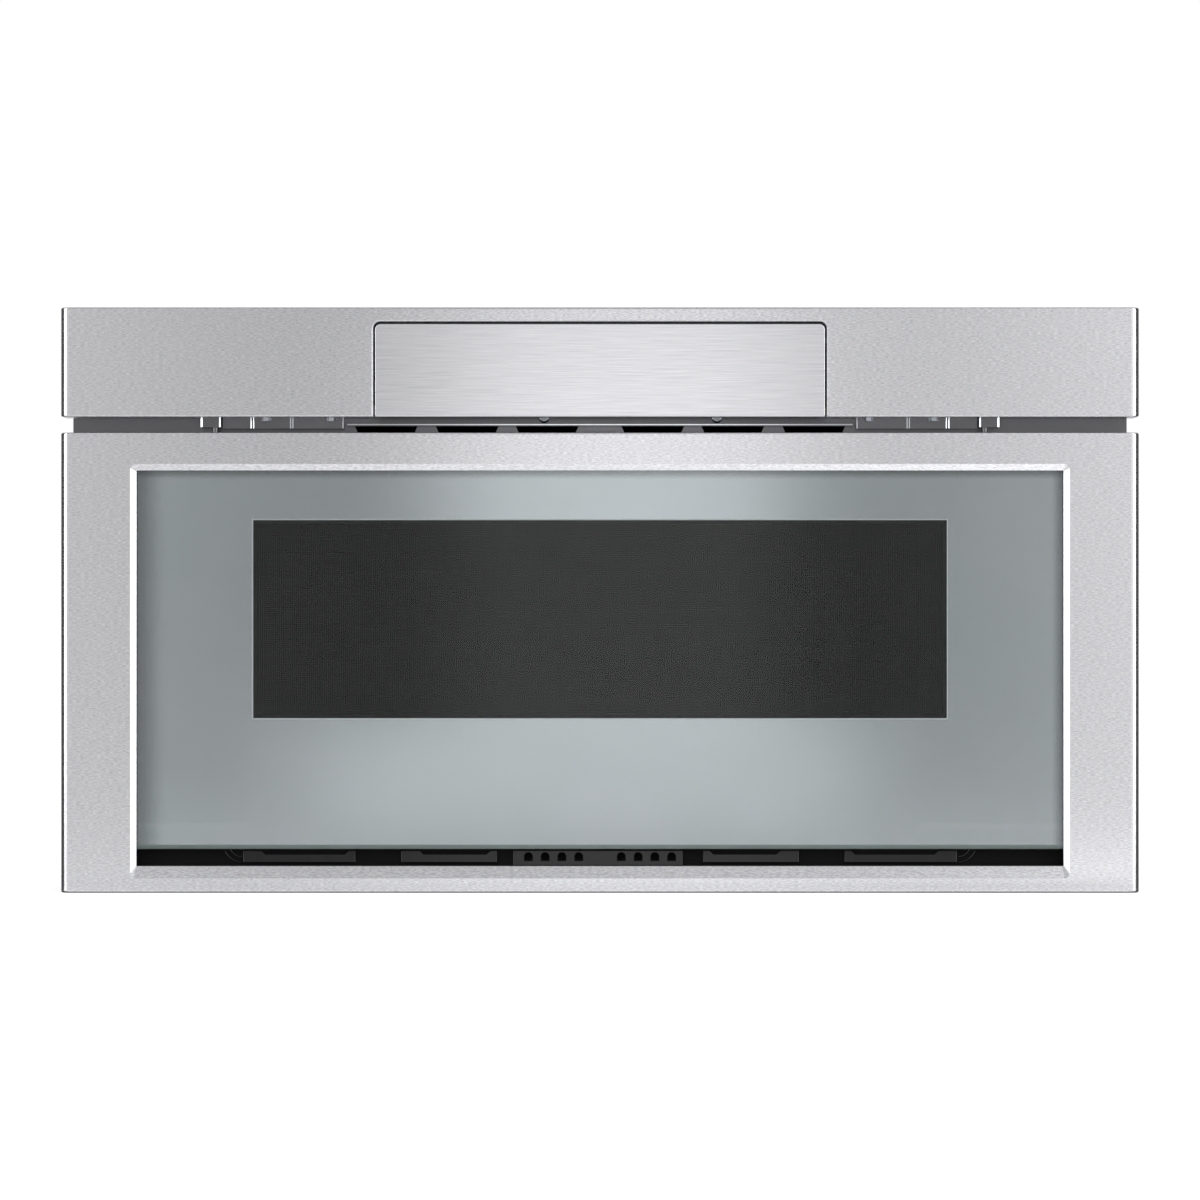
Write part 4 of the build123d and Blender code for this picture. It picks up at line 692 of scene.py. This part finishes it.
class DressHousing(Operator):
    """Galvanised sheet for the housing and enamel for tub and cavity"""
    bl_idname = "microwave_drawer.dress_housing"
    bl_label = "Housing and cavity"

    def execute(self, context):
        return dress(("galvanised_steel", "passivated_steel", "grey_enamel", "tray_ceramic"))


class DressGlass(Operator):
    """Float glass for the door panes and black printed glass for the touch panel"""
    bl_idname = "microwave_drawer.dress_glass"
    bl_label = "Glass"

    def execute(self, context):
        return dress(("tinted_glass", "clear_glass", "touch_black"))


class DressMouldings(Operator):
    """Moulded plastics: mask, sill, ducts, choke cover, fan, gears and bushes"""
    bl_idname = "microwave_drawer.dress_mouldings"
    bl_label = "Mouldings"

    def execute(self, context):
        return dress(("black_moulding", "black_gloss", "choke_grey", "fan_grey", "white_nylon",
                      "screen_black"))


class DressMechanism(Operator):
    """Plated slides, arms and screws, brass cages, rack and pinion, motors"""
    bl_idname = "microwave_drawer.dress_mechanism"
    bl_label = "Slides and drives"

    def execute(self, context):
        return dress(("zinc_steel", "cage_brass", "gear_steel", "motor_grey"))


class DressElectrics(Operator):
    """Transformer, magnetron, waveguide, mica cover and power board"""
    bl_idname = "microwave_drawer.dress_electrics"
    bl_label = "Microwave parts"

    def execute(self, context):
        return dress(("lamination_steel", "copper_winding", "aluminium_sheet", "mica_sheet",
                      "board_green"))


# ---- operators: new pieces ----
class BuildGlassPrint(Operator):
    """Builds the mirror print behind the door glass and a pale line round its window, which is a
    painted highlight
    """
    bl_idname = "microwave_drawer.build_glass_print"
    bl_label = "Glass print"

    def execute(self, context):
        details = context.scene.drawer_details
        colours = context.scene.drawer_finishes
        inset = 0.5 * MM
        foot = GLASS_LOW.z + details.glass_foot
        outer = (GLASS_LOW.x + inset, GLASS_HIGH.x - inset, foot, GLASS_HIGH.z - inset)
        sight = (-SIGHT_HALF, SIGHT_HALF, SIGHT_BOTTOM, SIGHT_TOP)
        y0 = GLASS_HIGH.y + 2 * details.print_gap
        bm = bmesh.new()
        upright_ring(bm, outer, sight, y0, y0 + details.print_thickness)
        piece("glass_print", bm, mirror_print(colours), "drawer")
        bm = bmesh.new()
        bar(bm, Vector((outer[0], y0, GLASS_LOW.z + inset)),
            Vector((outer[1], y0 + details.print_thickness, foot)))
        piece("glass_print_foot", bm, glass_foot(colours), "drawer")
        width = details.edge_highlight
        line = (sight[0] - width, sight[1] + width, sight[2] - width, sight[3] + width)
        # The painted highlight line lies between the glass and the print.
        bm = bmesh.new()
        upright_ring(bm, line, sight, GLASS_HIGH.y + 0.4 * details.print_gap,
                     GLASS_HIGH.y + 1.4 * details.print_gap)
        piece("glass_print_highlight_line", bm, painted_edge_highlight(colours), "drawer")
        return {"FINISHED"}


class BuildScreen(Operator):
    """Builds the punched window screen as a rim with crossed webs"""
    bl_idname = "microwave_drawer.build_screen"
    bl_label = "Window screen"

    def execute(self, context):
        details = context.scene.drawer_details
        low, high = SCREEN_LOW, SCREEN_HIGH
        rim = details.screen_rim
        sheet = (low.x, high.x, low.z, high.z)
        field = (-SIGHT_HALF + rim, SIGHT_HALF - rim, SIGHT_BOTTOM + rim, SIGHT_TOP - rim)
        bm = bmesh.new()
        upright_ring(bm, sheet, field, low.y, high.y)
        half = details.screen_bar / 2
        columns = round((field[1] - field[0]) / details.screen_pitch)
        rows = round((field[3] - field[2]) / details.screen_pitch)
        # No two faces lie in one plane: upright webs, level webs and rim stand a little apart.
        front, step = low.y + 0.05 * MM, 0.02 * MM
        for index in range(1, columns):
            x = field[0] + (field[1] - field[0]) * index / columns
            bar(bm, Vector((x - half, front, field[2])), Vector((x + half, high.y, field[3])))
        for index in range(1, rows):
            z = field[2] + (field[3] - field[2]) * index / rows
            bar(bm, Vector((field[0], front + step, z - half)),
                Vector((field[1], high.y - step, z + half)))
        finish = blackened_screen(context.scene.drawer_finishes)
        screen = piece("punched_screen", bm, finish, "drawer")
        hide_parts("door_screen")
        return {"FINISHED"}


class BuildGapTrim(Operator):
    """Builds the bright sheared edges of lip and brackets in the gap over the door"""
    bl_idname = "microwave_drawer.build_gap_trim"
    bl_label = "Gap edges"

    def execute(self, context):
        half = context.scene.drawer_details.gap_edge / 2
        lip_low, lip_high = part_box("gap_lip")
        box_low, box_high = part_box("gap_brackets")
        finish = polished_edge(context.scene.drawer_finishes)
        sheet, margin = 1.0 * MM, 0.05 * MM
        bm = bmesh.new()
        strip = bar(bm, Vector((lip_low.x, lip_low.y - 0.3 * MM, LIP_Z - margin)),
                    Vector((lip_high.x, lip_low.y + 0.6 * MM, LIP_Z + sheet + margin)))
        soften(bm, strip, 0.12 * MM)
        piece("lip_edge", bm, finish, "chassis")
        strip_y, strip_foot = -284.0 * MM, 318.5 * MM
        box_foot = 319.3 * MM
        # Places along X in mm, front, foot, half width, and degrees that a face is turned.
        edges = (((181.7, 217.2, 218.7), strip_y, strip_foot, half, 0),
                 ((244.9, 246.7), strip_y, strip_foot, half, 28),
                 ((268.6, 281.3), box_low.y, box_foot, 1.7 * half, 28))
        proud, depth = 0.15 * MM, 0.7 * MM
        bm = bmesh.new()
        for side in (-1, 1):
            for along, y, foot, wide, angle in edges:
                front = y - proud
                for x in along:
                    middle = Vector((side * x * MM, front + depth / 2, 0))
                    edge = bar(bm, Vector((middle.x - wide, front, foot)),
                               Vector((middle.x + wide, front + depth, box_high.z - 0.1 * MM)))
                    turn = Matrix.Rotation(side * radians(angle), 3, "Z")
                    bmesh.ops.rotate(bm, cent=middle, matrix=turn, verts=edge)
                    soften(bm, edge, 0.1 * MM)
        piece("bracket_edges", bm, finish, "chassis")
        return {"FINISHED"}


class BuildSillTrim(Operator):
    """Builds a black sheet behind the sill's air holes, painted shade that keeps them dark, and its
    two small screws
    """
    bl_idname = "microwave_drawer.build_sill_trim"
    bl_label = "Sill felt and screws"

    def execute(self, context):
        colours = context.scene.drawer_finishes
        back = SILL_Y + 2.02 * MM
        half, low, high, thick = 60 * MM, 11 * MM, 22 * MM, 1.2 * MM
        bm = bmesh.new()
        # A black sheet behind the air holes stands in for the shade inside them.
        shade_backing = bar(bm, Vector((-half, back, low)), Vector((half, back + thick, high)))
        soften(bm, shade_backing, thick / 3)
        piece("sill_hole_shade", bm, hole_shade_sheet(colours), "drawer")
        screw_x, screw_z, radius, head = 246.3 * MM, 14.0 * MM, 1.5 * MM, 0.8 * MM
        bm = bmesh.new()
        for side in (-1, 1):
            dome(bm, radius, head, Vector((side * screw_x, SILL_Y, screw_z)))
        piece("sill_screws", bm, zinc_plate(colours), "drawer")
        return {"FINISHED"}


class BuildLegend(Operator):
    """Prints plain digits and words on the touch panel"""
    bl_idname = "microwave_drawer.build_legend"
    bl_label = "Touch legend"

    def execute(self, context):
        size = context.scene.drawer_details.legend_size
        back = Vector((0, TOUCH_HIGH.y, TOUCH_LOW.z + 2.05 * MM))
        front = Vector((0, TOUCH_LOW.y, TOUCH_HIGH.z))
        up = (back - front).normalized()
        normal = Vector((1, 0, 0)).cross(up)
        middle = (front + back) / 2 + normal * 0.02 * MM
        rows, digit_step = (6 * MM, -8 * MM), 15 * MM
        words = [(digit, (place % 5 - 2) * digit_step, rows[place // 5])
                 for place, digit in enumerate("1234567890")]
        for x, pair in ((62 * MM, ("STOP", "START")), (105 * MM, ("OPEN", "CLOSE")),
                        (-62 * MM, ("POWER", "TIMER"))):
            words += [(word, x, row) for word, row in zip(pair, rows)]
        bm = bmesh.new()
        for text, x, y in words:
            curve = bpy.data.curves.new("legend", "FONT")
            curve.body = text
            curve.size = size
            curve.align_x = "CENTER"
            curve.align_y = "CENTER"
            label = bpy.data.objects.new("legend", curve)
            context.scene.collection.objects.link(label)
            context.view_layer.update()
            flat = bpy.data.meshes.new_from_object(label)
            place = middle + Vector((x, 0, 0)) + up * y
            turn = Matrix((Vector((1, 0, 0)), up, normal)).transposed().to_4x4()
            flat.transform(Matrix.Translation(place) @ turn)
            bm.from_mesh(flat)
            bpy.data.objects.remove(label)
        raised = bmesh.ops.extrude_face_region(bm, geom=bm.faces[:])["geom"]
        bmesh.ops.translate(bm, verts=verts_in(raised), vec=normal * 0.03 * MM)
        piece("touch_legend", bm, legend_ink(context.scene.drawer_finishes), "flap")
        return {"FINISHED"}


# ---- studio ----
def seen_or_mirrored(tree, share=1.0):
    """One for camera and transmitted rays, share for glossy ones, and nought for diffuse ones."""
    path = add(tree, "ShaderNodeLightPath")
    glossy = add(tree, "ShaderNodeMath", {1: share}, {0: path.outputs["Is Glossy Ray"]},
                 operation="MULTIPLY")
    both = add(tree, "ShaderNodeMath", None, {0: path.outputs["Is Camera Ray"],
                                              1: glossy.outputs[0]}, operation="MAXIMUM")
    return add(tree, "ShaderNodeMath", None, {0: both.outputs[0],
                                              1: path.outputs["Is Transmission Ray"]},
               operation="MAXIMUM").outputs[0]


def bare(name):
    """A new material with an empty tree."""
    material = bpy.data.materials.new(name)
    material.use_nodes = True
    material.node_tree.nodes.clear()
    return material, material.node_tree


def pale_floor(glow):
    """White floor paint: it keeps the shadow, and stays white where none falls."""
    material, tree = bare("white_studio_floor")
    matt = add(tree, "ShaderNodeBsdfDiffuse", {"Color": (*paint("#ebebeb"), 1)})
    strength = add(tree, "ShaderNodeMath", {1: glow},
                   {0: seen_or_mirrored(tree, MIRRORED_GLOW)}, operation="MULTIPLY")
    light = add(tree, "ShaderNodeEmission", None, {"Strength": strength.outputs[0]})
    both = add(tree, "ShaderNodeAddShader", None, {0: matt.outputs[0], 1: light.outputs[0]})
    add(tree, "ShaderNodeOutputMaterial", None, {"Surface": both.outputs[0]})
    return material


def graded(tree, share, stops):
    """Sets a card's strength by pairs of a share from 0 to 1 and a level up to BRIGHTEST."""
    ramp = add(tree, "ShaderNodeValToRGB", None, {"Fac": share})
    elements = ramp.color_ramp.elements
    while len(elements) < len(stops):
        elements.new(0.5)
    for element, (place, level) in zip(elements, stops):
        element.position = place
        element.color = (*[level / BRIGHTEST] * 3, 1)
    full = add(tree, "ShaderNodeMath", {1: BRIGHTEST}, {0: ramp.outputs["Color"]},
               operation="MULTIPLY")
    tree.links.new(full.outputs[0], tree.nodes["Emission"].inputs["Strength"])


def card_light(name, levels):
    """A lit card, with one strength or with pairs of a place along X and its strength."""
    material, tree = bare(name)
    even = not isinstance(levels, tuple)
    light = add(tree, "ShaderNodeEmission", {"Strength": levels if even else 1.0})
    add(tree, "ShaderNodeOutputMaterial", None, {"Surface": light.outputs[0]})
    if not even:
        first, last = levels[0][0], levels[-1][0]
        share = add(tree, "ShaderNodeMapRange", {"From Min": first, "From Max": last},
                    {"Value": places(tree)["X"]})
        graded(tree, share.outputs["Result"],
               [((x - first) / (last - first), level) for x, level in levels])
    return material


def tent_light(name, stops):
    """The tent's cloth: its strength goes by the bearing from the front, in degrees."""
    material = card_light(name, 1.0)
    tree = material.node_tree
    place = places(tree)
    ahead = add(tree, "ShaderNodeMath", {1: -1.0}, {0: place["Y"]}, operation="MULTIPLY")
    bearing = add(tree, "ShaderNodeMath", None, {0: place["X"], 1: ahead.outputs[0]},
                  operation="ARCTAN2")
    share = add(tree, "ShaderNodeMapRange", {"From Min": -pi, "From Max": pi},
                {"Value": bearing.outputs[0]})
    graded(tree, share.outputs["Result"], [((turn + 180) / 360, level) for turn, level in stops])
    return material


def staged(name, bm, material, mirrored_only=False):
    """A piece of the studio; only mirror-like surfaces may see it."""
    made = linked(name, bm, material)
    if mirrored_only:
        made.visible_camera = False
        made.visible_diffuse = False
        made.visible_shadow = False


def reflector(name, low, high, levels):
    """A card between two corners that only mirror-like surfaces see."""
    low, high = Vector(low), Vector(high)
    bm = bmesh.new()
    side = (high - low) / 2
    thin = min(range(3), key=lambda axis: abs(side[axis]))
    turn = Matrix.Rotation(radians(90), 4, "YX"[thin]) if thin < 2 else Matrix.Identity(4)
    bmesh.ops.create_grid(bm, x_segments=1, y_segments=1, size=1, matrix=turn)
    bmesh.ops.scale(bm, vec=side, verts=bm.verts)
    bmesh.ops.translate(bm, vec=(low + high) / 2, verts=bm.verts)
    staged(name, bm, card_light(name, levels), mirrored_only=True)


def softbox(name, power, size, place, target, mirrored):
    """A square softbox; mirror-like surfaces show it only if it is mirrored."""
    lamp = bpy.data.lights.new(name, "AREA")
    lamp.shape = "SQUARE"
    lamp.size = size
    lamp.energy = power
    made = bpy.data.objects.new(name, lamp)
    made.location = place
    made.rotation_euler = (Vector(target) - Vector(place)).to_track_quat("-Z", "Y").to_euler()
    made.visible_glossy = mirrored
    bpy.context.scene.collection.objects.link(made)


class BuildStage(Operator):
    """Sets the camera, the pale floor, the softboxes and the reflector cards"""
    bl_idname = "microwave_drawer.build_stage"
    bl_label = "Studio"

    def execute(self, context):
        studio = context.scene.drawer_studio
        self.set_world(context.scene, studio)
        self.set_floor(studio)
        self.set_tent(studio)
        self.set_flags()
        target = (0, DOOR_LOW.y, studio.camera_height)
        softbox("key_softbox", studio.key, 2.4, (1.4, -3.2, 2.3), target, True)
        softbox("fill_softbox", studio.fill, 2.0, (-1.8, -3.2, 1.2), target, False)
        self.set_camera(context.scene, studio)
        context.scene.view_settings.view_transform = "Standard"
        return {"FINISHED"}

    def set_world(self, scene, studio):
        world = bpy.data.worlds.new("white_studio")
        world.use_nodes = True
        tree = world.node_tree
        strength = add(tree, "ShaderNodeMapRange", {"To Min": studio.ambient, "To Max": 1.0},
                       {"Value": seen_or_mirrored(tree)})
        ground = tree.nodes["Background"]
        ground.inputs["Color"].default_value = (1, 1, 1, 1)
        tree.links.new(strength.outputs["Result"], ground.inputs["Strength"])
        scene.world = world

    def set_floor(self, studio):
        paint_white = pale_floor(studio.floor_glow)
        level, margin = DOOR_LOW.z - 0.5 * MM, 2 * MM
        bm = bmesh.new()
        bmesh.ops.create_grid(bm, x_segments=1, y_segments=1, size=30)
        bmesh.ops.translate(bm, vec=(0, 0, level), verts=bm.verts)
        staged("studio_floor", bm, paint_white)
        bm = bmesh.new()
        bar(bm, Vector((BASE_LOW.x, BASE_LOW.y + margin, level)),
            Vector((BASE_HIGH.x, BASE_HIGH.y, BASE_LOW.z - 0.1 * MM)))
        staged("studio_plinth", bm, paint_white)

    def set_tent(self, studio):
        bm = bmesh.new()
        bmesh.ops.create_circle(bm, segments=96, radius=studio.tent_radius)
        grown = bmesh.ops.extrude_edge_only(bm, edges=bm.edges[:])["geom"]
        bmesh.ops.translate(bm, verts=verts_in(grown), vec=(0, 0, studio.tent_height))
        staged("tent_wall", bm, tent_light("tent_wall", TENT_LEVELS), mirrored_only=True)
        reach = 1.1 * studio.tent_radius
        top = studio.tent_height
        reflector("tent_ceiling", (-reach, -reach, top), (reach, reach, top), CEILING_LEVEL)
        card_y = -0.94 * studio.tent_radius
        for name, levels, low_z, high_z in (("centre_card", CENTRE_LEVELS, CARDS_MEET, 0.50),
                                            ("low_card", LOW_LEVELS, -0.008, CARDS_MEET)):
            reflector(name, (levels[0][0], card_y, low_z), (levels[-1][0], card_y, high_z), levels)
        floor_z = DOOR_LOW.z + 4 * MM
        reflector("foot_card", (-0.8, DOOR_LOW.y - 0.19, floor_z),
                  (0.8, DOOR_LOW.y - 0.05, floor_z), FOOT_LEVELS)
        reflector("floor_card", (-1.2, card_y, floor_z), (1.2, DOOR_LOW.y - 0.24, floor_z),
                  FLOOR_CARD_LEVEL)

    def set_flags(self):
        """Black flags close to the front's rolled edges, which give them their dark outline."""
        ahead = DOOR_LOW.y - 5.5 * MM
        apart, top_depth, heel_depth = 20 * MM, 15 * MM, 38 * MM
        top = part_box("console_skin")[1].z + apart
        for side in (-1, 1):
            x = side * (DOOR_HIGH.x + apart)
            reflector(f"side_flag_{side + 1}", (x, ahead, DOOR_LOW.z), (x, DOOR_HIGH.y, top),
                      FLAG_LEVEL)
        width = DOOR_HIGH.x + apart
        reflector("top_flag", (-width, ahead, top), (width, DOOR_LOW.y + top_depth, top),
                  FLAG_LEVEL)
        heel = DOOR_LOW.z - 0.35 * MM
        reflector("heel_flag", (-width, DOOR_LOW.y - 0.5 * MM, heel),
                  (width, DOOR_LOW.y + heel_depth, heel), FLAG_LEVEL)

    def set_camera(self, scene, studio):
        lens = bpy.data.cameras.new("front_camera")
        lens.sensor_width = 36
        lens.lens = lens.sensor_width * studio.camera_distance / studio.view_width
        made = bpy.data.objects.new("front_camera", lens)
        made.location = (0, DOOR_LOW.y - studio.camera_distance, studio.camera_height)
        made.rotation_euler = (radians(90), 0, 0)
        scene.collection.objects.link(made)
        scene.camera = made


STEPS = (DressFront, DressHousing, DressGlass, DressMouldings, DressMechanism, DressElectrics,
         BuildGlassPrint, BuildScreen, BuildGapTrim, BuildSillTrim, BuildLegend, BuildStage)


class DrawerPanel(Panel):
    """The drawer's finishes, details and studio in the sidebar"""
    bl_idname = "VIEW3D_PT_microwave_drawer"
    bl_label = "Microwave drawer"
    bl_space_type = "VIEW_3D"
    bl_region_type = "UI"
    bl_category = "Drawer"

    def draw(self, context):
        for step in STEPS:
            self.layout.operator(step.bl_idname)
        for group in (context.scene.drawer_finishes, context.scene.drawer_details,
                      context.scene.drawer_studio):
            box = self.layout.box()
            for name in group.bl_rna.properties.keys():
                if name not in ("rna_type", "name"):
                    box.prop(group, name)


GROUPS = {"drawer_finishes": DrawerFinishes, "drawer_details": DrawerDetails,
          "drawer_studio": DrawerStudio}


def register():
    for name, group in GROUPS.items():
        bpy.utils.register_class(group)
        setattr(bpy.types.Scene, name, PointerProperty(type=group))
    for step in STEPS:
        bpy.utils.register_class(step)
    bpy.utils.register_class(DrawerPanel)


def unregister():
    bpy.utils.unregister_class(DrawerPanel)
    for step in reversed(STEPS):
        bpy.utils.unregister_class(step)
    for name, group in GROUPS.items():
        delattr(bpy.types.Scene, name)
        bpy.utils.unregister_class(group)


def main():
    register()
    for step in STEPS:
        call = step.bl_idname.split(".")[1]
        getattr(bpy.ops.microwave_drawer, call)()


if __name__ == "__main__":
    main()
